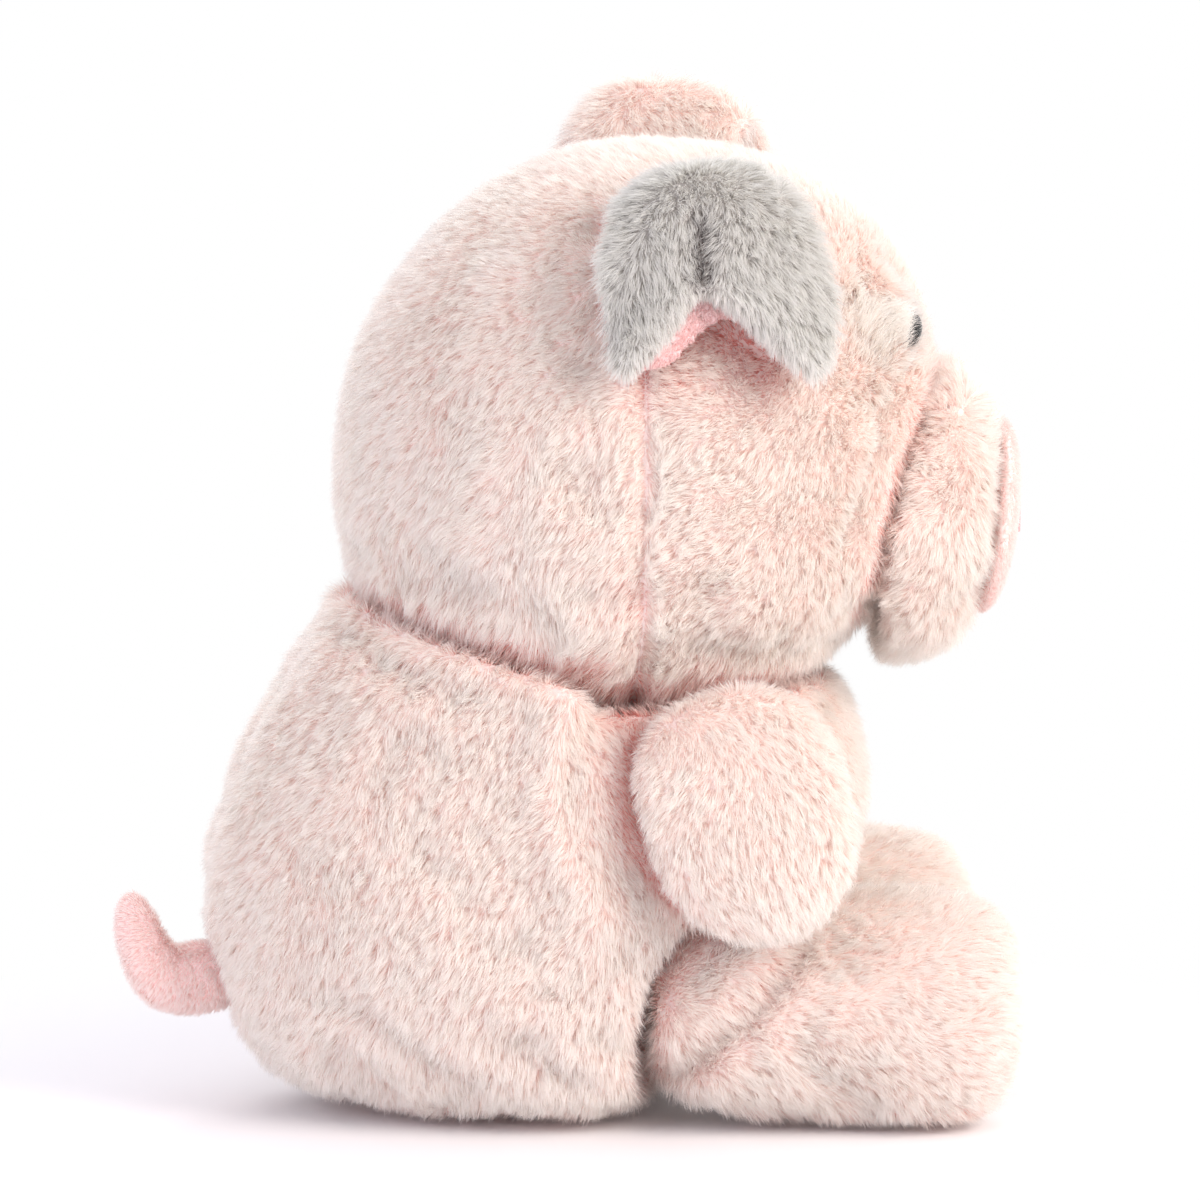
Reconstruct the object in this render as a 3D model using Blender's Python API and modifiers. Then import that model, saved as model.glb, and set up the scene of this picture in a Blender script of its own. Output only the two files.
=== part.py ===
"""Sitting plush pig: fur cloth shells over stuffing, sewn limbs, folded ears and a curled tail.

Units are metres, +Z is up and the pig looks along -Y, so its right side is at -X. The origin is on
the table, under the middle of the seat. Each stuffed piece is a coarse cage from a sphere, shaped by
a table of shares and smoothed by Subdivision Surface. The limbs turn on flat or ball-shaped seams.
"""

import math
from collections import namedtuple

import bmesh
import bpy
from mathutils import Matrix, Vector

PART_NAME = "plush_pig"
RIGHT, LEFT = -1, 1
SIDE_NAMES = {RIGHT: "right", LEFT: "left"}

# Cloth and clearances
GAP = 0.0003
FUR_CLOTH = 0.007
OVERRUN = 0.05
BASE_CUT = 0.0005

# Torso: a pear, widest low down, with a sloping back and a belly over the legs
TORSO_HEIGHT = 0.150
TORSO_HALF_WIDTH = 0.071
TORSO_FRONT = 0.083
TORSO_BACK = 0.101

# Bean pouch at the bottom of the torso
POUCH_HALF_WIDTH = 0.026
POUCH_HALF_DEPTH = 0.022
POUCH_HEIGHT = 0.020
POUCH_BACK = 0.020

# Head, and the ball-shaped seat on which it rests
HEAD_BOTTOM = 0.103
HEAD_TOP = 0.2645
HEAD_HALF_WIDTH = 0.076
HEAD_FRONT = 0.0817
HEAD_BACK = 0.0817
HEAD_FORWARD = 0.019
SEAT_BALL_RADIUS = 0.086
SEAT_BALL_FORWARD = 0.016
SEAT_BALL_HEIGHT = 0.190
HEAD_TRIM_HEIGHT = 0.150
HEAD_OPENING_RADIUS = 0.022
NECK_PLUG_RADIUS = 0.019
NECK_PLUG_DEPTH = 0.021

# Muzzle and snout
MUZZLE_ROOT_FORWARD = 0.070
MUZZLE_ROOT_HEIGHT = 0.1665
MUZZLE_LENGTH = 0.0475
MUZZLE_HALF_WIDTH = 0.0465
MUZZLE_HALF_HEIGHT = 0.0438
MUZZLE_DROOP = math.radians(7.0)
MUZZLE_FLAT = 0.0030
SNOUT_HALF_WIDTH = 0.0310
SNOUT_HALF_HEIGHT = 0.0275
SNOUT_DOME = 0.0085
SNOUT_EDGE = 0.0040
NOSTRIL_SPREAD = 0.0115
NOSTRIL_RISE = 0.0020
NOSTRIL_HALF_WIDTH = 0.0040
NOSTRIL_HALF_HEIGHT = 0.0064
NOSTRIL_PROUD = 0.0016

# Safety eyes: a dome with a shank through the cloth, and a lock washer behind it
EYE_RADIUS = 0.0060
EYE_DOME_HEIGHT = 0.0045
EYE_SPREAD = 0.030
EYE_HEIGHT = 0.2165
EYE_SEAT_FORWARD = 0.0890
EYE_TURN = math.radians(26.5)
EYE_TILT = math.radians(11.5)
EYE_SHANK_RADIUS = 0.0019
EYE_SHANK_LENGTH = 0.0135
WASHER_RADIUS = 0.0062
WASHER_THICKNESS = 0.0014
WASHER_SETBACK = 0.0100

# Arms: flat-sided paddles on tilted side seams
ARM_PIVOT_OUT = 0.0615
ARM_PIVOT_FORWARD = 0.0390
ARM_PIVOT_HEIGHT = 0.0960
ARM_SEAT_TILT = math.radians(14.0)
ARM_SEAT_MARGIN = 0.0015
ARM_SWING = math.radians(15.8)
ARM_REACH = 0.0435
ARM_TOP = 0.0290
ARM_HALF_WIDTH = 0.0305
ARM_HALF_THICKNESS = 0.0145
ARM_MID_OUT = 0.0100

# The opening in each limb's seam, through which it is filled
LIMB_OPENING_RADIUS = 0.0110

# Legs: stubs with a ball root in the torso and a blunt foot
HIP_OUT = 0.0425
HIP_FORWARD = 0.045
HIP_BALL_RADIUS = 0.0330
LEG_LENGTH = 0.0755
LEG_HALF_WIDTH = 0.0310
LEG_UPPER = 0.0355
LEG_SPLAY = math.radians(5.0)
LEG_LIFT = math.radians(15.0)
LEG_CLEARANCE = 0.0006

# Ears: padded flaps that rise from a root seam, fold over and hang in two lobes
EAR_ROOT_OUT = 0.0455
EAR_ROOT_FORWARD = 0.0300
EAR_ROOT_HEIGHT = 0.2500
EAR_ROOT_TURN = math.radians(6.0)
EAR_ROOT_RADIUS = 0.0045
EAR_ROOT_CLEARANCE = 0.0006
EAR_ROOT_HALF_LENGTH = 0.0230
EAR_HALF_WIDTH = 0.0345
EAR_HALF_THICKNESS = 0.0062
EAR_LEAN = math.radians(14.0)
EAR_FOLD_RADIUS = 0.0140
EAR_DROP = 0.0550
EAR_FLARE = 0.0165
EAR_RIGHT_RISE = 0.0050
EAR_LEFT_RISE = 0.0150
EAR_CROWN = 0.0190
EAR_NOTCH = 0.0330
EAR_TIP_SPREAD_SHARE = 0.80
EAR_APEX_SHARE = 0.02
EAR_TUCK_SHARE = 1.6
LINING_HALF_THICKNESS = 0.0014
LINING_MARGIN = 0.0040

# Tail: a short plush tube that turns up
TAIL_BACK = 0.0985
TAIL_HEIGHT = 0.0365
TAIL_RADIUS = 0.0108
TAIL_RUN = 0.0205
TAIL_RISE = 0.0245
TAIL_SWAY = 0.0030

# Rows from the bottom ring to the top ring: height, half width, front and back, as shares of the
# form's sizes, and the slope by which the ring leans up to the back
TORSO_SHARES = (
    (0.000, 0.56, 0.14, 0.60, 0.00),
    (0.067, 0.82, 0.43, 0.855, 0.00),
    (0.233, 0.97, 0.68, 1.00, 0.01),
    (0.420, 1.00, 0.91, 1.00, 0.03),
    (0.600, 0.97, 1.00, 0.92, 0.06),
    (0.760, 0.93, 0.94, 0.76, 0.10),
    (0.873, 0.89, 0.86, 0.66, 0.14),
    (0.973, 0.70, 0.66, 0.495, 0.16),
)
HEAD_SHARES = (
    (0.030, 0.66, 0.61, 0.61, 0.00),
    (0.136, 0.85, 0.79, 0.81, 0.00),
    (0.260, 0.94, 0.88, 0.96, 0.00),
    (0.384, 0.99, 0.96, 1.00, 0.00),
    (0.539, 1.00, 1.00, 0.99, 0.00),
    (0.675, 0.96, 0.99, 0.92, 0.00),
    (0.799, 0.86, 0.92, 0.76, 0.00),
    (0.910, 0.66, 0.71, 0.54, 0.00),
    (0.978, 0.37, 0.40, 0.27, 0.00),
)
MUZZLE_SHARES = (
    (0.05, 0.86, 0.86, 0.86, 0.00),
    (0.34, 1.00, 1.00, 1.00, 0.00),
    (0.66, 0.99, 0.99, 0.99, 0.00),
    (0.88, 0.86, 0.86, 0.86, 0.00),
    (0.98, 0.58, 0.58, 0.58, 0.00),
)
ARM_SHARES = (
    (0.055, 0.50, 0.48, 0.48, 0.00),
    (0.200, 0.88, 0.86, 0.86, 0.00),
    (0.430, 1.00, 1.00, 1.00, 0.00),
    (0.670, 1.00, 1.00, 1.00, 0.00),
    (0.860, 0.88, 0.86, 0.86, 0.00),
    (0.965, 0.52, 0.50, 0.50, 0.00),
)
LEG_SHARES = (
    (0.04, 0.55, 0.55, 0.50, 0.00),
    (0.16, 0.90, 0.90, 0.82, 0.00),
    (0.34, 1.00, 1.00, 0.94, 0.00),
    (0.60, 0.97, 1.00, 0.97, 0.00),
    (0.84, 1.00, 1.00, 1.00, 0.00),
    (0.965, 0.74, 0.78, 0.76, 0.00),
)
PILLOW_SHARES = (
    (0.06, 0.50, 0.50, 0.50, 0.00),
    (0.26, 0.90, 0.90, 0.90, 0.00),
    (0.50, 1.00, 1.00, 1.00, 0.00),
    (0.74, 0.90, 0.90, 0.90, 0.00),
    (0.94, 0.50, 0.50, 0.50, 0.00),
)
EAR_SHARES = (
    (0.015, 0.58, 0.58, 0.66, 0.00),
    (0.120, 0.74, 0.78, 0.88, 0.00),
    (0.300, 1.00, 0.96, 1.00, 0.00),
    (0.500, 1.00, 1.00, 1.00, 0.00),
    (0.700, 1.00, 1.00, 0.98, 0.00),
    (0.860, 1.00, 0.90, 0.92, 0.00),
    (0.970, 0.72, 0.76, 0.78, 0.00),
)
# The tail's points from its root: run out of the back, rise and sideways sway, as shares of the
# tail's sizes, and its radius there
TAIL_SHARES = (
    (-0.50, 0.00, 0.0, 0.28),
    (-0.44, 0.00, 0.0, 0.60),
    (-0.26, 0.00, 0.0, 0.92),
    (0.00, 0.00, 0.0, 1.00),
    (0.30, -0.04, 0.0, 1.00),
    (0.62, 0.02, -0.6, 0.90),
    (0.84, 0.32, -1.0, 0.74),
    (0.93, 0.62, -0.4, 0.64),
    (1.00, 0.86, 0.3, 0.46),
    (1.02, 1.00, 0.5, 0.14),
)

# Base colours, linear
PINK_FUR = (0.80, 0.60, 0.55)
GREY_FUR = (0.52, 0.53, 0.50)
SNOUT_PINK = (0.82, 0.50, 0.50)
TAIL_PINK = (0.80, 0.47, 0.46)
LINING_PINK = (0.72, 0.38, 0.40)
STITCH_PINK = (0.55, 0.22, 0.24)
STUFFING_WHITE = (0.85, 0.85, 0.83)
POUCH_CREAM = (0.70, 0.66, 0.55)
EYE_BLACK = (0.01, 0.01, 0.01)
WASHER_WHITE = (0.80, 0.80, 0.80)

ROD_SIDES = 24
SEAT_SIDES = 40

Form = namedtuple("Form", "bottom top half_width front back shares segments")


def clear_scene():
    for old in list(bpy.data.objects):
        bpy.data.objects.remove(old, do_unlink=True)


def new_collection(name):
    collection = bpy.data.collections.new(name)
    bpy.context.scene.collection.children.link(collection)
    return collection


clear_scene()
PARTS = new_collection(PART_NAME)
CUTTERS = new_collection(PART_NAME + "_cutters")


def material(name, colour, roughness):
    made = bpy.data.materials.new(name)
    made.use_nodes = True
    shader = made.node_tree.nodes["Principled BSDF"]
    shader.inputs["Base Color"].default_value = (*colour, 1.0)
    shader.inputs["Roughness"].default_value = roughness
    shader.inputs["Metallic"].default_value = 0.0
    made.diffuse_color = (*colour, 1.0)
    return made


def add_object(name, mesh, collection, to_world=Matrix.Identity(4)):
    made = bpy.data.objects.new(name, mesh)
    made.matrix_world = to_world
    collection.objects.link(made)
    if collection is CUTTERS:
        made.hide_render = True
        made.display_type = "WIRE"
    return made


def smooth(made, levels=1):
    """Rounds a cage, and splits its faces alike on every form, so that nested forms stay apart."""
    surface = made.modifiers.new("rounding", "SUBSURF")
    surface.levels = levels
    surface.render_levels = levels
    facets = made.modifiers.new("facets", "TRIANGULATE")
    facets.quad_method = "FIXED"


def cut(made, *cutters):
    for cutter in cutters:
        step = made.modifiers.new("cut_" + cutter.name, "BOOLEAN")
        step.operation = "DIFFERENCE"
        step.solver = "EXACT"
        step.object = cutter


def freeze(made):
    """Turns what an object's modifiers make of it into its own mesh."""
    bpy.context.view_layer.update()
    shown = made.evaluated_get(bpy.context.evaluated_depsgraph_get())
    mesh = bpy.data.meshes.new_from_object(shown)
    made.modifiers.clear()
    drawn = made.data
    made.data = mesh
    bpy.data.meshes.remove(drawn)
    mesh.name = made.name


def evaluated_corners(made):
    """The lowest and highest coordinates of the object's evaluated mesh, in its own axes."""
    bpy.context.view_layer.update()
    shown = made.evaluated_get(bpy.context.evaluated_depsgraph_get())
    mesh = shown.to_mesh()
    points = [vertex.co.copy() for vertex in mesh.vertices]
    shown.to_mesh_clear()
    low = Vector(min(point[axis] for point in points) for axis in range(3))
    high = Vector(max(point[axis] for point in points) for axis in range(3))
    return low, high


def fit_to_cage(made):
    """Scales the cage so that the smoothed form is as large as the cage was drawn."""
    points = [vertex.co for vertex in made.data.vertices]
    aim_low = [min(point[axis] for point in points) for axis in range(3)]
    aim_high = [max(point[axis] for point in points) for axis in range(3)]
    low, high = evaluated_corners(made)
    for vertex in made.data.vertices:
        for axis in range(3):
            share = (vertex.co[axis] - low[axis]) / (high[axis] - low[axis])
            vertex.co[axis] = aim_low[axis] + share * (aim_high[axis] - aim_low[axis])
    made.data.update()


def plainer(form):
    """The same form with every second row and fewer sides, for what lies inside."""
    return form._replace(shares=form.shares[::2], segments=form.segments * 5 // 8)


def soft_form(name, form, collection, inset=0.0, to_world=Matrix.Identity(4), bend=None):
    """A stuffed form: a sphere's rings moved to the form's rows, less an inset, and smoothed."""
    rings = len(form.shares)
    cage = bmesh.new()
    bmesh.ops.create_uvsphere(
        cage, u_segments=form.segments, v_segments=rings + 1, radius=1.0
    )
    middle = (form.top + form.bottom) / 2
    half_height = (form.top - form.bottom) / 2
    squeeze = (half_height - inset) / half_height
    for vertex in cage.verts:
        from_bottom = math.acos(max(-1.0, min(1.0, -vertex.co.z)))
        ring = round(from_bottom * (rings + 1) / math.pi)
        angle = math.atan2(vertex.co.y, vertex.co.x)
        height, width, front, back, lean = form.shares[max(0, min(rings - 1, ring - 1))]
        front_reach = (form.front - inset) * front
        back_reach = (form.back - inset) * back
        if ring in (0, rings + 1):
            height = ring / (rings + 1)
            x, y = 0.0, (back_reach - front_reach) / 2
        else:
            reach = back_reach if angle > 0 else front_reach
            x = (form.half_width - inset) * width * math.cos(angle)
            y = reach * math.sin(angle)
        z = form.bottom + height * (form.top - form.bottom)
        vertex.co = (x, y, middle + (z - middle) * squeeze + lean * y)
    mesh = bpy.data.meshes.new(name)
    cage.to_mesh(mesh)
    cage.free()
    made = add_object(name, mesh, collection, to_world)
    smooth(made)
    fit_to_cage(made)
    if bend:
        for vertex in mesh.vertices:
            vertex.co = bend(vertex.co)
    mesh.shade_smooth()
    mesh.update()
    if collection is CUTTERS:
        freeze(made)
    return made


def box(name, collection, size, centre, to_world=Matrix.Identity(4)):
    solid = bmesh.new()
    bmesh.ops.create_cube(solid, size=1.0)
    bmesh.ops.transform(
        solid,
        matrix=Matrix.Translation(centre) @ Matrix.Diagonal((*size, 1.0)),
        verts=solid.verts,
    )
    mesh = bpy.data.meshes.new(name)
    solid.to_mesh(mesh)
    solid.free()
    return add_object(name, mesh, collection, to_world)


def rod(name, collection, radius, low, high, to_world=Matrix.Identity(4), sides=ROD_SIDES):
    """A cylinder along its own Z, from low to high, with a flat side towards X."""
    solid = bmesh.new()
    bmesh.ops.create_cone(
        solid, cap_ends=True, segments=sides, radius1=radius, radius2=radius, depth=high - low
    )
    half_step = Matrix.Rotation(math.pi / sides, 4, "Z")
    middle = Matrix.Translation((0.0, 0.0, (high + low) / 2))
    bmesh.ops.transform(solid, matrix=middle @ half_step, verts=solid.verts)
    mesh = bpy.data.meshes.new(name)
    solid.to_mesh(mesh)
    solid.free()
    mesh.shade_smooth()
    mesh.set_sharp_from_angle(angle=math.radians(40.0))
    return add_object(name, mesh, collection, to_world)


def ball(name, collection, radius, centre, sides=36, outside=False):
    """A faceted ball whose corners lie on the radius, or whose flats do when outside is set."""
    rings = sides // 2
    if outside:
        radius = radius / math.cos(math.pi / sides) / math.cos(math.pi / (2 * rings))
    solid = bmesh.new()
    bmesh.ops.create_uvsphere(solid, u_segments=sides, v_segments=rings, radius=radius)
    mesh = bpy.data.meshes.new(name)
    solid.to_mesh(mesh)
    solid.free()
    mesh.shade_smooth()
    return add_object(name, mesh, collection, Matrix.Translation(centre))


def outside_ball(name, radius, low, high, to_world, sides):
    """A cutter that trims what fills a box to a ball about its origin: the box less the ball.

    The ball is turned by half a side, so that its corners face the flats of the socket round it.
    """
    low, high = Vector(low), Vector(high)
    made = box(name, CUTTERS, high - low, (high + low) / 2, to_world)
    kept = ball(name + "_ball", CUTTERS, radius, to_world.translation, sides)
    kept.matrix_world = kept.matrix_world @ Matrix.Rotation(math.pi / sides, 4, "X")
    cut(made, kept)
    freeze(made)
    return made


def axes_matrix(origin, x_axis, z_axis):
    """The placement with the given origin, X along x_axis and Z as near z_axis as it can be."""
    x_axis = Vector(x_axis).normalized()
    y_axis = Vector(z_axis).cross(x_axis).normalized()
    z_axis = x_axis.cross(y_axis)
    turn = Matrix((x_axis, y_axis, z_axis)).transposed().to_4x4()
    return Matrix.Translation(origin) @ turn


PINK_CLOTH = material("pink_fur_cloth", PINK_FUR, 0.95)
GREY_CLOTH = material("grey_fur_cloth", GREY_FUR, 0.95)
STUFFING = material("polyester_stuffing", STUFFING_WHITE, 0.95)

SEAT_BALL_CENTRE = Vector((0.0, -SEAT_BALL_FORWARD, SEAT_BALL_HEIGHT))
NECK_PLUG_BOTTOM = SEAT_BALL_HEIGHT - SEAT_BALL_RADIUS - NECK_PLUG_DEPTH
TORSO = Form(
    -BASE_CUT, TORSO_HEIGHT, TORSO_HALF_WIDTH, TORSO_FRONT, TORSO_BACK, TORSO_SHARES, 16
)
HEAD = Form(
    HEAD_BOTTOM, HEAD_TOP, HEAD_HALF_WIDTH, HEAD_FRONT, HEAD_BACK, HEAD_SHARES, 16
)
HEAD_PLACE = Matrix.Translation((0.0, -HEAD_FORWARD, 0.0))


def arm_place(side):
    """The arm's frame: X out of its side seam, Z up the arm, the origin in the seam."""
    outward = Vector((side * math.cos(ARM_SEAT_TILT), 0.0, math.sin(ARM_SEAT_TILT)))
    up_arm = Vector((0.0, math.sin(ARM_SWING), math.cos(ARM_SWING)))
    pivot = Vector((side * ARM_PIVOT_OUT, -ARM_PIVOT_FORWARD, ARM_PIVOT_HEIGHT))
    return axes_matrix(pivot, outward, up_arm)


def hip_centre(side):
    return Vector((side * HIP_OUT, -HIP_FORWARD, HIP_BALL_RADIUS))


def leg_place(side, lift=0.0):
    """The leg's frame: Z along the leg to the foot, Y down, the origin in the hip's centre."""
    along = Vector((side * math.sin(LEG_SPLAY), -math.cos(LEG_SPLAY), 0.0))
    across = Vector((-math.cos(LEG_SPLAY), -side * math.sin(LEG_SPLAY), 0.0))
    level = axes_matrix((0.0, 0.0, 0.0), across, along)
    raised = Matrix.Rotation(-lift, 4, "X")
    return Matrix.Translation(hip_centre(side)) @ raised @ level


def ear_place(side):
    """The ear's frame: X out of the head, Y back along the root seam, the origin in the seam."""
    root = (side * EAR_ROOT_OUT, -EAR_ROOT_FORWARD, EAR_ROOT_HEIGHT)
    outward = Vector((side * math.cos(EAR_ROOT_TURN), -math.sin(EAR_ROOT_TURN), 0.0))
    return Matrix.Translation(root), outward


LEG = Form(
    -HIP_BALL_RADIUS,
    LEG_LENGTH,
    LEG_HALF_WIDTH,
    LEG_UPPER,
    HIP_BALL_RADIUS + BASE_CUT,
    LEG_SHARES,
    10,
)
ARM = Form(
    -ARM_REACH, ARM_TOP, ARM_HALF_THICKNESS, ARM_HALF_WIDTH, ARM_HALF_WIDTH, ARM_SHARES, 10
)


def below_table(name, height=0.0):
    """A cutter for everything under a level, where a piece stands flat."""
    side = 4 * TORSO_BACK
    return box(name, CUTTERS, (side, side, OVERRUN), (0.0, 0.0, height - OVERRUN / 2))


def arm_side_cutter(side, name, wall=0.0):
    """A cutter for the round seat on which the arm turns, deeper and wider by a wall."""
    out_of_seam = arm_place(side) @ Matrix.Rotation(math.pi / 2, 4, "Y")
    reach = ARM_REACH + ARM_SEAT_MARGIN + wall
    return rod(name, CUTTERS, reach, -wall, OVERRUN - wall, out_of_seam)


def leg_lane(side, name, form, spare):
    """A cutter for the space that the leg fills from rest to its highest, past its ball root."""
    guide = soft_form(name + "_guide", form, CUTTERS, -spare)
    swept = bmesh.new()
    for lift in (0.0, LEG_LIFT / 2, LEG_LIFT):
        for vertex in guide.data.vertices:
            if vertex.co.z > -HIP_BALL_RADIUS / 3:
                swept.verts.new(leg_place(side, lift) @ vertex.co)
    hull = bmesh.ops.convex_hull(swept, input=swept.verts)
    inside = [item for item in hull["geom_interior"] if isinstance(item, bmesh.types.BMVert)]
    bmesh.ops.delete(swept, geom=inside, context="VERTS")
    mesh = bpy.data.meshes.new(name)
    swept.to_mesh(mesh)
    swept.free()
    bpy.data.objects.remove(guide, do_unlink=True)
    return add_object(name, mesh, CUTTERS)


def torso_hollow(name, collection, spare):
    """The torso's filling, or with a spare of GAP the hollow that holds it."""
    fewer_sides = TORSO._replace(segments=TORSO.segments * 5 // 8)
    made = soft_form(name, fewer_sides, collection, FUR_CLOTH - spare)
    wall = FUR_CLOTH - spare
    seat = ball(
        name + "_seat", CUTTERS, SEAT_BALL_RADIUS + GAP + wall, SEAT_BALL_CENTRE, 24, True
    )
    cut(made, seat)
    for side in (RIGHT, LEFT):
        label = f"{name}_{SIDE_NAMES[side]}"
        hip = ball(
            label + "_hip", CUTTERS, HIP_BALL_RADIUS + GAP + wall, hip_centre(side), 16, True
        )
        lane = leg_lane(side, label + "_leg", plainer(LEG), wall + LEG_CLEARANCE)
        cut(made, hip, lane, arm_side_cutter(side, label + "_arm", wall))
    cut(made, below_table(name + "_base", wall))
    freeze(made)
    return made


def tail_root():
    return Vector((0.0, TAIL_BACK, TAIL_HEIGHT))


def make_torso():
    """The torso's shell: cut flat at the base, the arm seams, the hips, the neck and the tail."""
    torso = soft_form("torso", TORSO, PARTS)
    torso.data.materials.append(PINK_CLOTH)
    cut(torso, torso_hollow("torso_hollow", CUTTERS, GAP))
    seat = ball("head_seat", CUTTERS, SEAT_BALL_RADIUS + GAP, SEAT_BALL_CENTRE, SEAT_SIDES, True)
    bore_height = SEAT_BALL_HEIGHT
    plug_place = Matrix.Translation((0.0, -SEAT_BALL_FORWARD, 0.0))
    bore = rod(
        "neck_bore", CUTTERS, NECK_PLUG_RADIUS + GAP, NECK_PLUG_BOTTOM - GAP, bore_height, plug_place
    )
    tail_socket = ball(
        "tail_socket", CUTTERS, TAIL_RADIUS + 2 * GAP, tail_root(), 16, True
    )
    cut(torso, seat, bore, tail_socket)
    for side in (RIGHT, LEFT):
        label = SIDE_NAMES[side]
        hip = ball(
            f"hip_socket_{label}", CUTTERS, HIP_BALL_RADIUS + GAP, hip_centre(side), 24, True
        )
        cut(torso, hip, leg_lane(side, f"leg_lane_{label}", LEG, LEG_CLEARANCE))
        cut(torso, arm_side_cutter(side, f"arm_seat_{label}"))
    cut(torso, below_table("torso_base"))
    return bore, tail_socket


def make_torso_filling(*sockets):
    """The torso's stuffing, less the sockets, with the bean pouch let into its underside."""
    filling = torso_hollow("torso_stuffing", PARTS, 0.0)
    filling.data.materials.append(STUFFING)
    floor = FUR_CLOTH
    pouch_form = Form(
        floor - POUCH_HEIGHT / 2,
        floor + POUCH_HEIGHT,
        POUCH_HALF_WIDTH,
        POUCH_HALF_DEPTH,
        POUCH_HALF_DEPTH,
        PILLOW_SHARES[::2],
        12,
    )
    place = Matrix.Translation((0.0, POUCH_BACK, 0.0))
    pouch = soft_form("bean_pouch", pouch_form, PARTS, 0.0, place)
    pouch.data.materials.append(material("pouch_cloth", POUCH_CREAM, 0.9))
    cut(pouch, below_table("pouch_base", floor))
    pocket = soft_form("pouch_pocket", pouch_form, CUTTERS, -GAP, place)
    cut(filling, pocket, *sockets)


def make_neck():
    """The plug of stuffing in the neck: a turned rod with a dished top under the head."""
    place = Matrix.Translation((0.0, -SEAT_BALL_FORWARD, 0.0))
    plug = rod(
        "neck_stuffing",
        PARTS,
        NECK_PLUG_RADIUS * math.cos(math.pi / ROD_SIDES),
        NECK_PLUG_BOTTOM,
        SEAT_BALL_HEIGHT - SEAT_BALL_RADIUS + NECK_PLUG_RADIUS / 4,
        place,
    )
    plug.data.materials.append(STUFFING)
    cut(
        plug,
        ball("neck_dish", CUTTERS, SEAT_BALL_RADIUS + GAP, SEAT_BALL_CENTRE, SEAT_SIDES, True),
    )


def muzzle_place():
    """The muzzle's frame: Z along the muzzle to the snout, Y down."""
    along = Vector((0.0, -math.cos(MUZZLE_DROOP), -math.sin(MUZZLE_DROOP)))
    root = (0.0, -MUZZLE_ROOT_FORWARD, MUZZLE_ROOT_HEIGHT)
    return axes_matrix(root, (-1.0, 0.0, 0.0), along)


def eye_place(side):
    """The eye's frame: Z out of the face, the origin in the flat seat."""
    outward = Vector(
        (
            side * math.sin(EYE_TURN) * math.cos(EYE_TILT),
            -math.cos(EYE_TURN) * math.cos(EYE_TILT),
            math.sin(EYE_TILT),
        )
    )
    seat = (side * EYE_SPREAD, -EYE_SEAT_FORWARD, EYE_HEIGHT)
    across = outward.cross(Vector((0.0, 0.0, 1.0)))
    return axes_matrix(seat, across, outward)


def head_underside(name, sides, wall=0.0):
    """A cutter that gives the underside the shape of its ball seat, less a wall."""
    reach = 2 * SEAT_BALL_RADIUS
    return outside_ball(
        name,
        SEAT_BALL_RADIUS - wall,
        (-reach, -reach, -SEAT_BALL_HEIGHT),
        (reach, reach, HEAD_TRIM_HEIGHT + wall - SEAT_BALL_HEIGHT),
        Matrix.Translation(SEAT_BALL_CENTRE),
        sides,
    )


def head_hollow(name, collection, spare):
    """The head's filling, or with a spare of GAP the hollow that holds it."""
    wall = FUR_CLOTH - spare
    made = soft_form(name, plainer(HEAD), collection, wall, HEAD_PLACE)
    cut(made, head_underside(name + "_trim", 24, wall))
    freeze(made)
    return made


def make_head():
    """The head's shell, its filling, and the seats for the ears, the eyes and their washers."""
    head = soft_form("head", HEAD, PARTS, 0.0, HEAD_PLACE)
    head.data.materials.append(PINK_CLOTH)
    trim = head_underside("head_trim", SEAT_SIDES)
    opening = rod(
        "head_opening",
        CUTTERS,
        HEAD_OPENING_RADIUS,
        0.0,
        SEAT_BALL_HEIGHT - SEAT_BALL_RADIUS + 2 * FUR_CLOTH,
        Matrix.Translation((0.0, -SEAT_BALL_FORWARD, 0.0)),
        24,
    )
    cut(head, trim, head_hollow("head_hollow", CUTTERS, GAP), opening)
    filling = head_hollow("head_stuffing", PARTS, 0.0)
    filling.data.materials.append(STUFFING)
    glass = material("black_eye", EYE_BLACK, 0.08)
    nylon = material("washer_plastic", WASHER_WHITE, 0.5)
    for side in (RIGHT, LEFT):
        label = SIDE_NAMES[side]
        place = eye_place(side)
        seat = rod(
            f"eye_seat_{label}", CUTTERS, EYE_RADIUS + GAP, -GAP, OVERRUN, place, 24
        )
        shank_hole = rod(
            f"shank_hole_{label}",
            CUTTERS,
            EYE_SHANK_RADIUS + GAP,
            -EYE_SHANK_LENGTH - GAP,
            EYE_DOME_HEIGHT,
            place,
            16,
        )
        back = -WASHER_SETBACK - WASHER_THICKNESS
        pocket = rod(
            f"washer_pocket_{label}", CUTTERS, WASHER_RADIUS + GAP, back - GAP, 0.0, place, 24
        )
        cut(head, seat, shank_hole)
        cut(filling, pocket, shank_hole)
        make_eye(side, place, glass)
        washer = rod(
            f"eye_washer_{label}", PARTS, WASHER_RADIUS, back, -WASHER_SETBACK, place, 24
        )
        washer.data.materials.append(nylon)
        cut(washer, shank_hole)
        cut(head, ear_root_groove(side))


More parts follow.
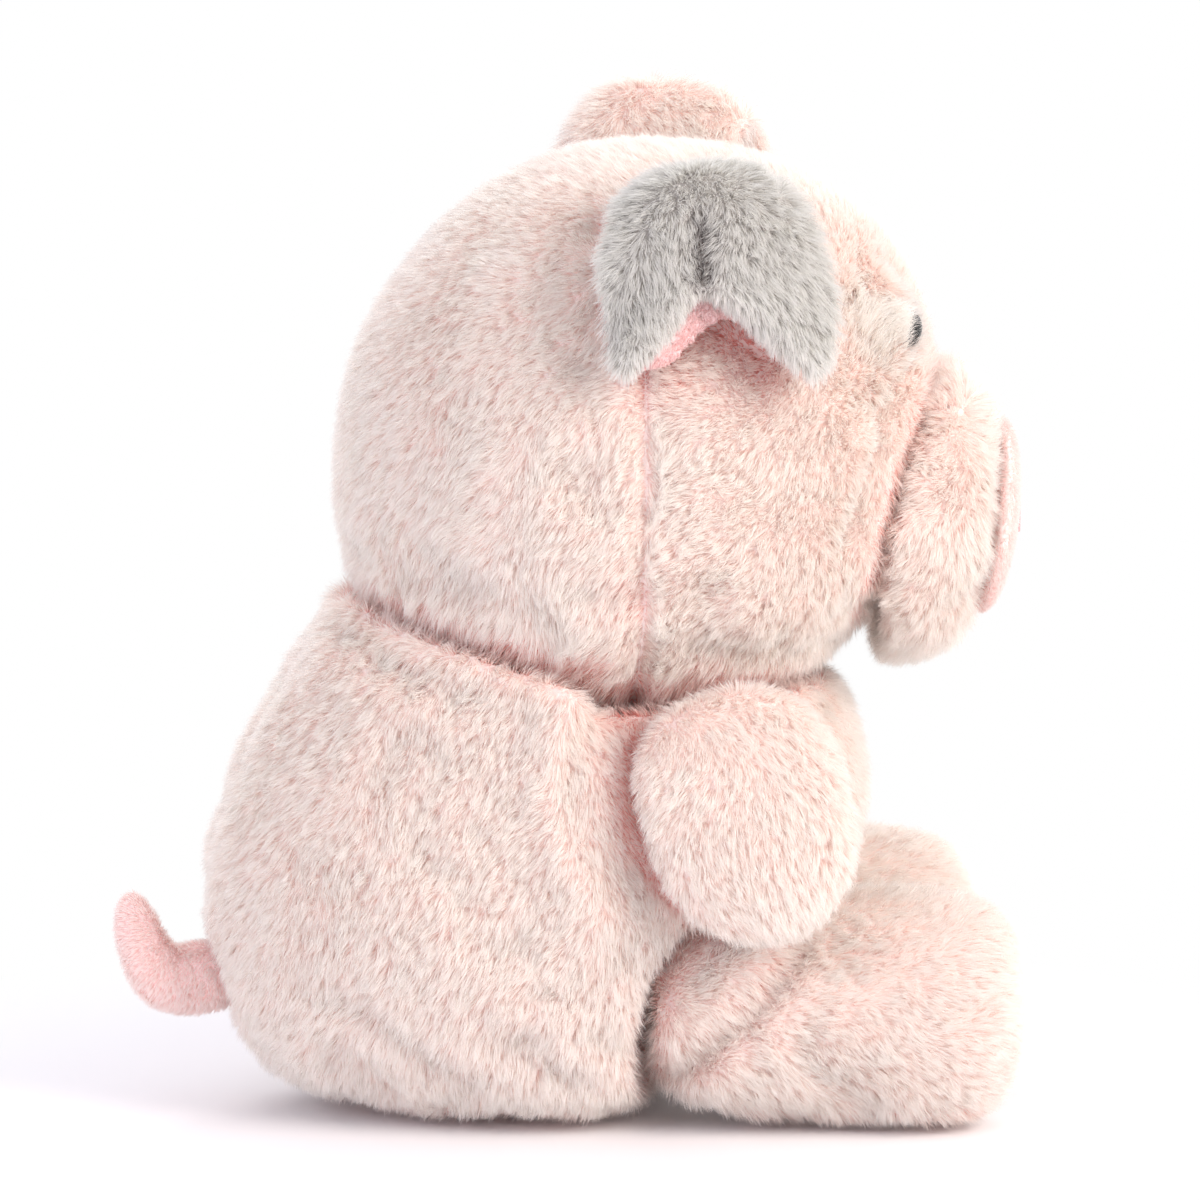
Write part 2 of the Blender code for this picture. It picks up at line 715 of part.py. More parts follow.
def make_eye(side, place, glass):
    """A domed eye turned about its shank, from the crown down to the shank's end."""
    steps = 4
    outline = [
        (
            EYE_RADIUS * math.sin(math.pi / 2 * step / steps),
            EYE_DOME_HEIGHT * math.cos(math.pi / 2 * step / steps),
        )
        for step in range(steps + 1)
    ]
    outline.append((EYE_RADIUS, 0.0))
    outline.append((EYE_SHANK_RADIUS, 0.0))
    outline.append((EYE_SHANK_RADIUS, -EYE_SHANK_LENGTH))
    outline.append((0.0, -EYE_SHANK_LENGTH))
    points = []
    for point in outline:
        if not points or point != points[-1]:
            points.append(point)
    profile = bmesh.new()
    corners = [profile.verts.new((radius, 0.0, height)) for radius, height in points]
    for first, second in zip(corners, corners[1:]):
        profile.edges.new((first, second))
    mesh = bpy.data.meshes.new(f"eye_{SIDE_NAMES[side]}")
    profile.to_mesh(mesh)
    profile.free()
    eye = add_object(mesh.name, mesh, PARTS, place)
    turn = eye.modifiers.new("turned", "SCREW")
    turn.steps = 14
    turn.render_steps = 14
    turn.use_merge_vertices = True
    turn.merge_threshold = GAP / 3
    mesh.materials.append(glass)
    mesh.shade_smooth()


def make_muzzle():
    """The muzzle's shell on the face, its filling, the velour snout and its stitched nostrils."""
    place = muzzle_place()
    form = Form(
        -MUZZLE_HALF_HEIGHT / 2,
        MUZZLE_LENGTH,
        MUZZLE_HALF_WIDTH,
        MUZZLE_HALF_HEIGHT,
        MUZZLE_HALF_HEIGHT,
        MUZZLE_SHARES,
        12,
    )
    face = soft_form("face_surface", HEAD, CUTTERS, -GAP, HEAD_PLACE)
    seat_height = MUZZLE_LENGTH - MUZZLE_FLAT
    span = 4 * MUZZLE_HALF_WIDTH
    front = box(
        "snout_seat",
        CUTTERS,
        (span, span, OVERRUN),
        (0.0, 0.0, seat_height + OVERRUN / 2),
        place,
    )
    wall = FUR_CLOTH
    inner_front = box(
        "snout_seat_inside",
        CUTTERS,
        (span, span, OVERRUN),
        (0.0, 0.0, seat_height - wall + OVERRUN / 2),
        place,
    )
    deeper_front = box(
        "snout_seat_hollow",
        CUTTERS,
        (span, span, OVERRUN),
        (0.0, 0.0, seat_height - wall + GAP + OVERRUN / 2),
        place,
    )
    muzzle = soft_form("muzzle", form, PARTS, 0.0, place)
    muzzle.data.materials.append(PINK_CLOTH)
    core = plainer(form)
    hollow = soft_form("muzzle_hollow", core, CUTTERS, wall - GAP, place)
    cut(hollow, deeper_front)
    freeze(hollow)
    cut(muzzle, front, hollow, face)
    filling = soft_form("muzzle_stuffing", core, PARTS, wall, place)
    filling.data.materials.append(STUFFING)
    cut(filling, inner_front, face)
    make_snout(place, seat_height)


def make_snout(muzzle_frame, seat_height):
    place = muzzle_frame @ Matrix.Translation((0.0, 0.0, seat_height + GAP))
    form = Form(
        -SNOUT_EDGE,
        SNOUT_DOME,
        SNOUT_HALF_WIDTH,
        SNOUT_HALF_HEIGHT,
        SNOUT_HALF_HEIGHT,
        PILLOW_SHARES,
        12,
    )
    snout = soft_form("snout", form, PARTS, 0.0, place)
    snout.data.materials.append(material("snout_velour", SNOUT_PINK, 0.9))
    span = 4 * SNOUT_HALF_WIDTH
    back = box("snout_back", CUTTERS, (span, span, OVERRUN), (0.0, 0.0, -OVERRUN / 2), place)
    cut(snout, back)
    skin = soft_form("snout_surface", form, CUTTERS, -GAP, place)
    thread = material("embroidery_thread", STITCH_PINK, 0.6)
    for side in (RIGHT, LEFT):
        spot = place @ Matrix.Translation((side * NOSTRIL_SPREAD, -NOSTRIL_RISE, 0.0))
        proud = SNOUT_DOME + NOSTRIL_PROUD
        patch = Form(
            0.0,
            proud,
            NOSTRIL_HALF_WIDTH,
            NOSTRIL_HALF_HEIGHT,
            NOSTRIL_HALF_HEIGHT,
            PILLOW_SHARES[::2],
            8,
        )
        nostril = soft_form(f"nostril_{SIDE_NAMES[side]}", patch, PARTS, 0.0, spot)
        nostril.data.materials.append(thread)
        cut(nostril, skin)


def make_arm(side):
    """An arm's shell, open at its flat side seam, and the filling inside it."""
    label = SIDE_NAMES[side]
    place = arm_place(side) @ Matrix.Translation((ARM_MID_OUT, 0.0, 0.0))
    span = 4 * ARM_REACH
    past_seam = box(
        f"arm_seam_{label}",
        CUTTERS,
        (OVERRUN, span, span),
        (GAP - OVERRUN / 2, 0.0, 0.0),
        arm_place(side),
    )
    arm = soft_form(f"arm_{label}", ARM, PARTS, 0.0, place)
    arm.data.materials.append(PINK_CLOTH)
    core = plainer(ARM)
    hollow = soft_form(f"arm_hollow_{label}", core, CUTTERS, FUR_CLOTH - GAP, place)
    inward = arm_place(side) @ Matrix.Rotation(math.pi / 2, 4, "Y")
    opening = rod(
        f"arm_opening_{label}", CUTTERS, LIMB_OPENING_RADIUS, -OVERRUN, ARM_MID_OUT, inward, 16
    )
    cut(arm, hollow, opening, past_seam)
    filling = soft_form(f"arm_stuffing_{label}", core, PARTS, FUR_CLOTH, place)
    filling.data.materials.append(STUFFING)
    cut(filling, past_seam)


def make_leg(side):
    """A leg's shell with its ball root and its opening there, and the filling inside it."""
    label = SIDE_NAMES[side]
    place = leg_place(side)
    reach = 2 * HIP_BALL_RADIUS
    root_trim = outside_ball(
        f"leg_root_{label}",
        HIP_BALL_RADIUS,
        (-reach, -reach, -reach),
        (reach, reach, 0.0),
        place,
        24,
    )
    leg = soft_form(f"leg_{label}", LEG, PARTS, 0.0, place)
    leg.data.materials.append(PINK_CLOTH)
    core = plainer(LEG)
    hollow = soft_form(f"leg_hollow_{label}", core, CUTTERS, FUR_CLOTH - GAP, place)
    opening = rod(
        f"leg_opening_{label}", CUTTERS, LIMB_OPENING_RADIUS, -reach, 0.0, place, 16
    )
    cut(leg, hollow, opening, root_trim, below_table(f"leg_base_{label}"))
    filling = soft_form(f"leg_stuffing_{label}", core, PARTS, FUR_CLOTH, place)
    filling.data.materials.append(STUFFING)


def ear_root_groove(side):
    """A cutter along the ear's root seam in the head."""
    place, outward = ear_place(side)
    along = Vector((0.0, 0.0, 1.0)).cross(outward)
    frame = axes_matrix(place.translation, outward, along)
    span = EAR_ROOT_HALF_LENGTH + 2 * EAR_ROOT_RADIUS
    return rod(
        f"ear_groove_{SIDE_NAMES[side]}",
        CUTTERS,
        (EAR_ROOT_RADIUS + EAR_ROOT_CLEARANCE) / math.cos(math.pi / 16),
        -span,
        span,
        frame,
        16,
    )


def ear_bend(side, rise, offset, length):
    """Maps the flat ear (X thick, Y along the seam, Z from root to tip) to its folded course."""
    place, outward = ear_place(side)
    back = Vector((0.0, 0.0, 1.0)).cross(outward) * side
    up = Vector((0.0, 0.0, 1.0))
    root = place.translation
    fold = math.pi * EAR_FOLD_RADIUS
    slant = math.atan2(EAR_FLARE, EAR_DROP)

    def bent(point):
        thick, across, along = point
        thick = thick + offset
        from_middle = min(1.0, abs(across) / (EAR_TIP_SPREAD_SHARE * EAR_HALF_WIDTH))
        lobes = 1.0 - math.sqrt(from_middle ** 2 + EAR_APEX_SHARE) + EAR_APEX_SHARE
        down = max(0.0, along) / length
        side_share = min(1.0, abs(across) / EAR_HALF_WIDTH)
        crown = EAR_CROWN * (1.0 - math.sqrt(1.0 - side_share ** 2))
        climb = rise - crown
        along = along - EAR_NOTCH * max(0.0, lobes) * down ** 2 - EAR_TUCK_SHARE * crown * down
        folded = max(0.0, min(1.0, (along - climb) / fold))
        lean = EAR_LEAN + folded * (math.pi - slant - EAR_LEAN)
        straight = min(along, climb)
        past = max(0.0, along - climb - fold)
        out = straight * math.sin(EAR_LEAN) + past * math.sin(lean)
        out += EAR_FOLD_RADIUS * (math.cos(EAR_LEAN) - math.cos(lean))
        high = straight * math.cos(EAR_LEAN) + past * math.cos(lean)
        high += EAR_FOLD_RADIUS * (math.sin(lean) - math.sin(EAR_LEAN))
        across_out = Vector((out - thick * math.cos(lean), high + thick * math.sin(lean)))
        return root + outward * across_out.x + up * across_out.y + back * across

    return bent


def make_ear(side, rise, cloth, lining):
    """An ear: a padded fur panel outside and a thin velour panel under it."""
    label = SIDE_NAMES[side]
    length = rise + math.pi * EAR_FOLD_RADIUS + EAR_DROP
    thickness = EAR_HALF_THICKNESS
    panel = Form(
        -EAR_ROOT_RADIUS,
        length,
        thickness,
        EAR_HALF_WIDTH,
        EAR_HALF_WIDTH,
        EAR_SHARES,
        10,
    )
    ear = soft_form(
        f"ear_{label}", panel, PARTS, 0.0, bend=ear_bend(side, rise, 0.0, length)
    )
    ear.data.materials.append(cloth)
    under = Form(
        LINING_MARGIN * 2,
        length - LINING_MARGIN,
        LINING_HALF_THICKNESS,
        EAR_HALF_WIDTH - LINING_MARGIN,
        EAR_HALF_WIDTH - LINING_MARGIN,
        EAR_SHARES[::2],
        8,
    )
    offset = -(thickness + GAP + LINING_HALF_THICKNESS)
    inner = soft_form(
        f"ear_lining_{label}", under, PARTS, 0.0, bend=ear_bend(side, rise, offset, length)
    )
    inner.data.materials.append(lining)
    for made in (ear, inner):
        if side == LEFT:
            made.data.flip_normals()


def make_tail():
    """The tail: a tapering tube on a smooth line through its points, with closed ends."""
    line = bpy.data.curves.new("tail_line", "CURVE")
    line.dimensions = "3D"
    line.bevel_depth = TAIL_RADIUS
    line.bevel_resolution = 3
    line.use_fill_caps = True
    line.resolution_u = 3
    spline = line.splines.new("NURBS")
    spline.points.add(len(TAIL_SHARES) - 1)
    spline.use_endpoint_u = True
    spline.order_u = 3
    root = tail_root()
    for point, (run, climb, sway, radius) in zip(spline.points, TAIL_SHARES):
        offset = Vector((TAIL_SWAY * sway, TAIL_RUN * run, TAIL_RISE * climb))
        point.co = (*(root + offset), 1.0)
        point.radius = radius
    guide = bpy.data.objects.new("tail_line", line)
    PARTS.objects.link(guide)
    bpy.context.view_layer.update()
    shown = guide.evaluated_get(bpy.context.evaluated_depsgraph_get())
    mesh = bpy.data.meshes.new_from_object(shown)
    bpy.data.objects.remove(guide, do_unlink=True)
    tidy = bmesh.new()
    tidy.from_mesh(mesh)
    bmesh.ops.remove_doubles(tidy, verts=tidy.verts, dist=GAP / 3)
    bmesh.ops.translate(tidy, vec=-root, verts=tidy.verts)
    tidy.to_mesh(mesh)
    tidy.free()
    mesh.name = "tail"
    mesh.shade_smooth()
    tail = add_object("tail", mesh, PARTS, Matrix.Translation(root))
    tail.data.materials.append(material("tail_plush", TAIL_PINK, 0.9))


def main():
    make_torso_filling(*make_torso())
    make_neck()
    make_head()
    make_muzzle()
    lining = material("lining_velour", LINING_PINK, 0.9)
    make_ear(RIGHT, EAR_RIGHT_RISE, GREY_CLOTH, lining)
    make_ear(LEFT, EAR_LEFT_RISE, PINK_CLOTH, lining)
    for side in (RIGHT, LEFT):
        make_arm(side)
        make_leg(side)
    make_tail()


main()
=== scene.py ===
# %% [markdown]
# # A sitting plush pig, dressed in fur
#
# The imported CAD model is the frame: it holds every part's place, its joints and its stuffing, and it
# stops where the tips of the fur stop. This script puts a cloth skin a few millimetres under that
# surface, and grows the pile on it as real strands. Each cell says what a piece is on the real toy,
# how it could be made, and why it is made this way here.

# %% Load the frame
import math

import bmesh
import bpy
import numpy as np
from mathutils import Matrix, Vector
from mathutils.bvhtree import BVHTree
from mathutils.kdtree import KDTree


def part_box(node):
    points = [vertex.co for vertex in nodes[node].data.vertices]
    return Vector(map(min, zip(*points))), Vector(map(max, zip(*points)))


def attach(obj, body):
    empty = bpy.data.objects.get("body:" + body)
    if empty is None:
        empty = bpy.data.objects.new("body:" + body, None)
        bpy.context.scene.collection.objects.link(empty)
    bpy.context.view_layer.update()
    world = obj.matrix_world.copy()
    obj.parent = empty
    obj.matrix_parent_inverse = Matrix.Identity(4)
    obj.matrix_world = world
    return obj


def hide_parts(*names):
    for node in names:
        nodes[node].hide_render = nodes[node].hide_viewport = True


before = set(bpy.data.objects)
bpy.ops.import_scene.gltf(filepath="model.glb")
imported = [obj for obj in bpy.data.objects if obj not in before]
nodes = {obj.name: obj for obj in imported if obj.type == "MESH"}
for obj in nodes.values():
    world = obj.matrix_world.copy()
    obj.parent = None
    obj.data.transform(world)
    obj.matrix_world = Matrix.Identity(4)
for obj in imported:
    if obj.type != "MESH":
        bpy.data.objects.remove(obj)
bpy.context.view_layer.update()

print("CAD nodes:", len(nodes))

# %% [markdown]
# ## Camera
#
# A product photographer stands well back with a long lens, so that the toy is not stretched. The
# camera looks from behind the toy's right side, 264 degrees round from its face, and 9 degrees above
# the table. A short lens close by would make the near ear too large against the head.

# %% Set the camera
AIM = Vector((0.0, -0.0095, 0.1385))
CAMERA_DISTANCE = 3.0
CAMERA_ELEVATION = math.radians(9)
CAMERA_BEARING = math.radians(6)  # how far behind the exact side view

away = Vector((-math.cos(CAMERA_BEARING) * math.cos(CAMERA_ELEVATION),
               math.sin(CAMERA_BEARING) * math.cos(CAMERA_ELEVATION),
               math.sin(CAMERA_ELEVATION)))
camera_data = bpy.data.cameras.new("camera")
camera_data.lens = 330
camera_data.sensor_width = 36
camera = bpy.data.objects.new("camera", camera_data)
camera.location = AIM + away * CAMERA_DISTANCE
camera.rotation_euler = away.to_track_quat("Z", "Y").to_euler()
bpy.context.scene.collection.objects.link(camera)
bpy.context.scene.camera = camera
print("camera at", [round(c, 3) for c in camera.location])


# %% [markdown]
# ## Colours and nodes
#
# Colours are read off swatches as sRGB hex values, and Blender's shaders want linear light, so one
# function turns one into the other. A second small function adds any node with its settings and its
# links, which keeps a material as short as the list of what it is made of.

# %% Turn hex colours to linear, and add a node
def linear(hex_colour):
    values = [int(hex_colour[i:i + 2], 16) / 255 for i in (1, 3, 5)]
    return tuple(v / 12.92 if v <= 0.04045 else ((v + 0.055) / 1.055) ** 2.4 for v in values) + (1.0,)


def add_node(tree, kind, inputs=None, **settings):
    made = tree.nodes.new(kind)
    for key, value in settings.items():
        setattr(made, key, value)
    for key, value in (inputs or {}).items():
        if isinstance(value, bpy.types.NodeSocket):
            tree.links.new(value, made.inputs[key])
        else:
            made.inputs[key].default_value = value
    return made


def reckon(tree, operation, *values):
    """The outcome of one Math node."""
    return add_node(tree, "ShaderNodeMath", dict(enumerate(values)), operation=operation).outputs[0]


def ramp(tree, factor, stops):
    made = add_node(tree, "ShaderNodeValToRGB", {"Fac": factor})
    elements = made.color_ramp.elements
    while len(elements) < len(stops):
        elements.new(0.5)
    for element, (place, hex_colour) in zip(elements, stops):
        element.position = place
        element.color = linear(hex_colour)
    return made.outputs["Color"]


def noise(tree, millimetres, detail=2.0):
    """A pattern fixed to its piece, with patches this many millimetres wide."""
    place = add_node(tree, "ShaderNodeTexCoord")
    made = add_node(tree, "ShaderNodeTexNoise", {"Vector": place.outputs["Object"],
                                                 "Scale": 1000.0 / millimetres, "Detail": detail})
    return made.outputs["Fac"]


def straight_rays(tree):
    """1 for the rays by which the background is seen, straight or in something or through it."""
    path = add_node(tree, "ShaderNodeLightPath")
    seen = reckon(tree, "MAXIMUM", path.outputs["Is Camera Ray"], path.outputs["Is Glossy Ray"])
    return reckon(tree, "MAXIMUM", seen, path.outputs["Is Transmission Ray"])


def new_material(name):
    made = bpy.data.materials.new(name)
    made.use_nodes = True
    made.node_tree.nodes.clear()
    return made, made.node_tree


def finish_material(tree, inputs):
    shader = add_node(tree, "ShaderNodeBsdfPrincipled", inputs)
    add_node(tree, "ShaderNodeOutputMaterial", {"Surface": shader.outputs["BSDF"]})


print("a mid grey in linear light:", round(linear("#808080")[0], 3))

# %% [markdown]
# ## Studio
#
# The toy sits on a wide sheet of white paper. The lamps are large and soft, so that they leave a
# colour as it is written: a warm one from the front of the toy, a cooler one from behind its back,
# and a third beyond it that catches the tips of the hair. For camera rays the paper fades to plain
# white away from the toy, and near it the paper keeps the toy's shadow.

# %% Light the studio
WARM, COOL, CLEAR = "#fff5ed", "#e9e6ff", "#ffffff"


def soft_lamp(name, place, aim, width, watts, hex_colour):
    data = bpy.data.lights.new(name, "AREA")
    data.shape = "DISK"
    data.size = width
    data.energy = watts
    data.color = linear(hex_colour)[:3]
    lamp = bpy.data.objects.new(name, data)
    lamp.location = place
    lamp.rotation_euler = (Vector(place) - Vector(aim)).to_track_quat("Z", "Y").to_euler()
    bpy.context.scene.collection.objects.link(lamp)
    print(f"lamp {name}: {watts} W, {width} m wide")


soft_lamp("key", (-0.95, -1.0, 0.80), (0, -0.02, 0.12), 0.9, 17.0, WARM)
soft_lamp("back_fill", (-0.95, 1.05, 0.55), (0, 0.02, 0.14), 0.9, 4.0, COOL)
soft_lamp("far_rim", (1.1, 0.1, 1.05), (0, 0, 0.16), 0.8, 5.5, CLEAR)

world = bpy.data.worlds.new("white_studio")
bpy.context.scene.world = world
world.use_nodes = True
sky = world.node_tree
sky.nodes.clear()
ambient = add_node(sky, "ShaderNodeBackground", {"Color": linear("#f4f2fb"), "Strength": 0.9})
paper_white = add_node(sky, "ShaderNodeBackground", {"Color": linear("#ffffff"), "Strength": 1.0})
both = add_node(sky, "ShaderNodeMixShader", {0: straight_rays(sky), 1: ambient.outputs[0],
                                             2: paper_white.outputs[0]})
add_node(sky, "ShaderNodeOutputWorld", {"Surface": both.outputs[0]})
bpy.context.scene.view_settings.view_transform = "Standard"

# %% Lay the paper
SHADOW_ENDS = (0.13, 0.24)  # metres from the middle: the paper's own look up to here, white from there


def make_paper():
    material, tree = new_material("matt_studio_paper")
    shader = add_node(tree, "ShaderNodeBsdfPrincipled",
                      {"Base Color": linear("#fbfafa"), "Roughness": 0.95, "Specular IOR Level": 0.1})
    white = add_node(tree, "ShaderNodeEmission", {"Color": linear("#ffffff"), "Strength": 1.0})
    place = add_node(tree, "ShaderNodeTexCoord")
    span = add_node(tree, "ShaderNodeVectorMath", {0: place.outputs["Object"]}, operation="LENGTH")
    fade = add_node(tree, "ShaderNodeMapRange", {"Value": span.outputs["Value"],
                                                 "From Min": SHADOW_ENDS[0],
                                                 "From Max": SHADOW_ENDS[1]},
                    interpolation_type="SMOOTHSTEP")
    share = reckon(tree, "MULTIPLY", fade.outputs["Result"], straight_rays(tree))
    surface = add_node(tree, "ShaderNodeMixShader", {0: share, 1: shader.outputs[0],
                                                     2: white.outputs[0]})
    add_node(tree, "ShaderNodeOutputMaterial", {"Surface": surface.outputs[0]})
    shape = bmesh.new()
    bmesh.ops.create_grid(shape, x_segments=8, y_segments=8, size=3.0)
    mesh = bpy.data.meshes.new("paper")
    shape.to_mesh(mesh)
    shape.free()
    mesh.materials.append(material)
    paper = bpy.data.objects.new("paper", mesh)
    bpy.context.scene.collection.objects.link(paper)
    print("paper laid, 6 m square")


make_paper()

# %% [markdown]
# ## Pile materials
#
# The fur is knitted acrylic pile: fine crimped fibres that lie side by side in locks, each a little
# see-through, so light that falls between the locks comes back warmer and pinker than it went in.
# That is why a parting looks rose while the tips look almost cream. The colour therefore runs along
# each strand, from a deep root to a pale tip, which is painted shade for the light that the coat warms
# and loses deep down, with a little real difference from strand to strand and from patch to patch.
# A strand in a fold or under another part is painted deeper still, as painted shade. More than half
# of the light that meets a fibre goes on through it, which a plain surface alone cannot show: the coat
# would look like felt. Acrylic has an IOR near 1.5 and, as fluff, almost no shine, only a soft sheen.

# %% Make the pile materials
ACRYLIC_IOR = 1.5
LET_THROUGH = 0.6  # the share of light that a fibre passes on instead of sending back
ALONG, TONE = "along", "tone"  # per strand: 0 at the root to 1 at the tip, and its depth of colour, a random tone plus painted shade
STOP_PLACES = (0.0, 0.3, 0.55, 0.9)  # on the ramp, from the deepest colour, painted shade for strands in folds or under other parts, to the tips
ROOT_PLACE, TIP_RISE = 0.3, 0.7  # where a pale strand's root lies there, and how far its tip rises
TONE_DEPTH = 0.16  # how far a strand's tone, painted shade in it too, takes it back


def pile_material(name, stops, patch_mm, patch_depth, sheen, sheen_tint):
    material, tree = new_material(name)
    along = add_node(tree, "ShaderNodeAttribute", attribute_name=ALONG).outputs["Fac"]
    tone = add_node(tree, "ShaderNodeAttribute", attribute_name=TONE).outputs["Fac"]
    patches = reckon(tree, "MULTIPLY", reckon(tree, "ADD", noise(tree, patch_mm), -0.5), patch_depth)
    place = reckon(tree, "ADD", reckon(tree, "MULTIPLY_ADD", along, TIP_RISE, ROOT_PLACE), patches)
    place = reckon(tree, "SUBTRACT", place, reckon(tree, "MULTIPLY", tone, TONE_DEPTH))
    colour = ramp(tree, place, list(zip(STOP_PLACES, stops)))
    front = add_node(tree, "ShaderNodeBsdfPrincipled",
                     {"Base Color": colour, "Roughness": 0.7, "IOR": ACRYLIC_IOR,
                      "Specular IOR Level": 0.25, "Sheen Weight": sheen,
                      "Sheen Tint": linear(sheen_tint), "Sheen Roughness": 0.5})
    through = add_node(tree, "ShaderNodeBsdfTranslucent", {"Color": colour})
    mixed = add_node(tree, "ShaderNodeMixShader", {0: LET_THROUGH, 1: front.outputs[0],
                                                   2: through.outputs[0]})
    add_node(tree, "ShaderNodeOutputMaterial", {"Surface": mixed.outputs[0]})
    return material


# The first stop of each pile is painted shade, which strands reach in folds, under other parts and a
# little by their random tone. The paling from root to tip is painted shade of the coat as well.
pink_pile = pile_material("acrylic_pile_pink", ("#f2b3aa", "#fff1ec", "#fffaf6", "#fffefb"), 14, 0.12,
                          0.12, "#fff4ee")
grey_pile = pile_material("acrylic_pile_grey", ("#8f8582", "#e6e4e1", "#f1f0ed", "#f8f7f5"), 9, 0.16,
                          0.12, "#fbfbf6")
tail_pile = pile_material("short_plush_rose", ("#e8a9a7", "#fde8e4", "#fff6f3", "#fffaf8"), 5, 0.20,
                          0.10, "#fff0ec")
nap_pile = pile_material("brushed_nap_blush", ("#f1bab4", "#fde7e2", "#fff1ee", "#fff7f5"), 7, 0.16,
                         0.05, "#fff4f0")
rose_nap_pile = pile_material("brushed_nap_rose", ("#dca4a4", "#f4d3d2", "#fbe4e2", "#fff0ee"), 7, 0.16,
                              0.12, "#ffeeec")


def backing_material(name, deep, pale, grain_mm):
    """The knitted ground of the fur with the thickest part of the pile on it: a felted surface
    without strands, in the colour of the strands' lower half: the cloth's own colour, deepened by
    the painted shade that lies low in the coat."""
    material, tree = new_material(name)
    grain = noise(tree, grain_mm, 3.0)
    bump = add_node(tree, "ShaderNodeBump", {"Height": grain, "Distance": 0.0006, "Strength": 0.8})
    finish_material(tree, {"Base Color": ramp(tree, grain, [(0.3, deep), (0.7, pale)]),
                           "Roughness": 0.9, "IOR": ACRYLIC_IOR, "Specular IOR Level": 0.1,
                           "Normal": bump.outputs["Normal"]})
    return material


pink_ground = backing_material("knitted_ground_pink", "#fdeae5", "#fff6f2", 1.6)
grey_ground = backing_material("knitted_ground_grey", "#bbb4b0", "#dedbd7", 1.6)
tail_ground = backing_material("knitted_ground_rose", "#f6cfcb", "#fde6e2", 1.0)
stuffing_fluff = backing_material("polyester_fibrefill", "#ececea", "#f8f8f6", 3)
print("5 piles and 4 grounds")

# %% [markdown]
# ## Velour, thread, plastic
#
# The snout and the ear linings are brushed polyester velour: a nap of about a millimetre, cut level,
# which shows as fine grain with a soft bright edge. The nostrils are satin stitch in rayon thread,
# which shines along its turns. The eyes are moulded in black and polished, and their washers are
# natural polypropylene.

# %% Make the other materials
NAP_MM, MOTTLE_MM = 0.7, 9


def velour_material(name, deep, pale):
    material, tree = new_material(name)
    nap = noise(tree, NAP_MM)
    tone = add_node(tree, "ShaderNodeMix", {"Factor": 0.35, "A": noise(tree, MOTTLE_MM), "B": nap})
    colour = ramp(tree, tone.outputs["Result"], [(0.35, deep), (0.65, pale)])
    bump = add_node(tree, "ShaderNodeBump", {"Height": nap, "Distance": 0.0002, "Strength": 0.7})
    finish_material(tree, {"Base Color": colour, "Roughness": 0.8, "IOR": 1.55,
                           "Specular IOR Level": 0.2, "Sheen Weight": 0.12,
                           "Sheen Tint": linear("#fff2ef"), "Sheen Roughness": 0.4,
                           "Normal": bump.outputs["Normal"]})
    return material


snout_velour = velour_material("brushed_velour_blush", "#fdeae6", "#fff5f2")
lining_velour = velour_material("brushed_velour_rose", "#efc9c8", "#f8dedd")


def plain_material(name, hex_colour, roughness, ior, grain_mm, grain_depth, extra=None):
    """A finish that is one colour to the eye, with the fine unevenness of its surface."""
    material, tree = new_material(name)
    bump = add_node(tree, "ShaderNodeBump", {"Height": noise(tree, grain_mm), "Distance": grain_depth,
                                             "Strength": 0.5})
    inputs = {"Base Color": linear(hex_colour), "Roughness": roughness, "IOR": ior,
              "Normal": bump.outputs["Normal"]}
    inputs.update(extra or {})
    finish_material(tree, inputs)
    return material


rayon_thread = plain_material("rayon_embroidery_thread", "#dfa3a4", 0.35, 1.52, 0.4, 0.0001,
                              {"Anisotropic": 0.5})
polished_eye = plain_material("polished_black_acrylic", "#0b0a0a", 0.06, 1.49, 6, 0.00002)
natural_pp = plain_material("moulded_natural_polypropylene", "#e6e6e4", 0.45, 1.49, 2, 0.00005)
print("2 velours, 1 thread and 2 plastics")


# %% [markdown]
# ## Skins
#
# Each stuffed part of the toy is a cloth bag with filling in it. One way to a skin would be to draw
# each bag again. It is shorter and truer to copy the CAD cloth and its filling, melt them together
# with a voxel remesh, and turn the melt into a cloud that thickens with depth. The surface at one
# chosen depth in the cloud is the cloth that the fur grows from: sharp rims come out soft, and every
# hollow in which an arm or a leg rests is kept.

# %% Copy CAD nodes into one skin
COARSE_VOXEL, FINE_VOXEL = 0.0024, 0.0012


def link(obj):
    bpy.context.scene.collection.objects.link(obj)
    return obj


def melted(name, members, voxel, sink, smoothing=4):
    """One smooth skin that lies sink under the surface of these CAD nodes."""
    shape = bmesh.new()
    for member in members:
        shape.from_mesh(nodes[member].data)
    mesh = bpy.data.meshes.new(name + "_melt")
    shape.to_mesh(mesh)
    shape.free()
    melt = link(bpy.data.objects.new(name + "_melt", mesh))
    remesh = melt.modifiers.new("melt", "REMESH")
    remesh.mode = "VOXEL"
    remesh.voxel_size = voxel
    cloud = link(bpy.data.objects.new(name + "_cloud", bpy.data.volumes.new(name + "_cloud")))
    fill = cloud.modifiers.new("fill", "MESH_TO_VOLUME")
    fill.object = melt
    fill.resolution_mode = "VOXEL_SIZE"
    fill.voxel_size = voxel
    fill.interior_band_width = 2 * sink
    skin = link(bpy.data.objects.new(name, bpy.data.meshes.new(name)))
    cloth = skin.modifiers.new("cloth", "VOLUME_TO_MESH")
    cloth.object = cloud
    cloth.threshold = 0.5
    cloth.resolution_mode = "GRID"
    relax = skin.modifiers.new("relax", "SMOOTH")
    relax.iterations = smoothing
    relax.factor = 0.5
    apply_modifiers(skin)
    bpy.data.objects.remove(melt)
    bpy.data.objects.remove(cloud)
    keep_largest(skin)
    skin.data.polygons.foreach_set("use_smooth", np.ones(len(skin.data.polygons), bool))
    print(f"{name}: {len(skin.data.vertices)} corners")
    return skin


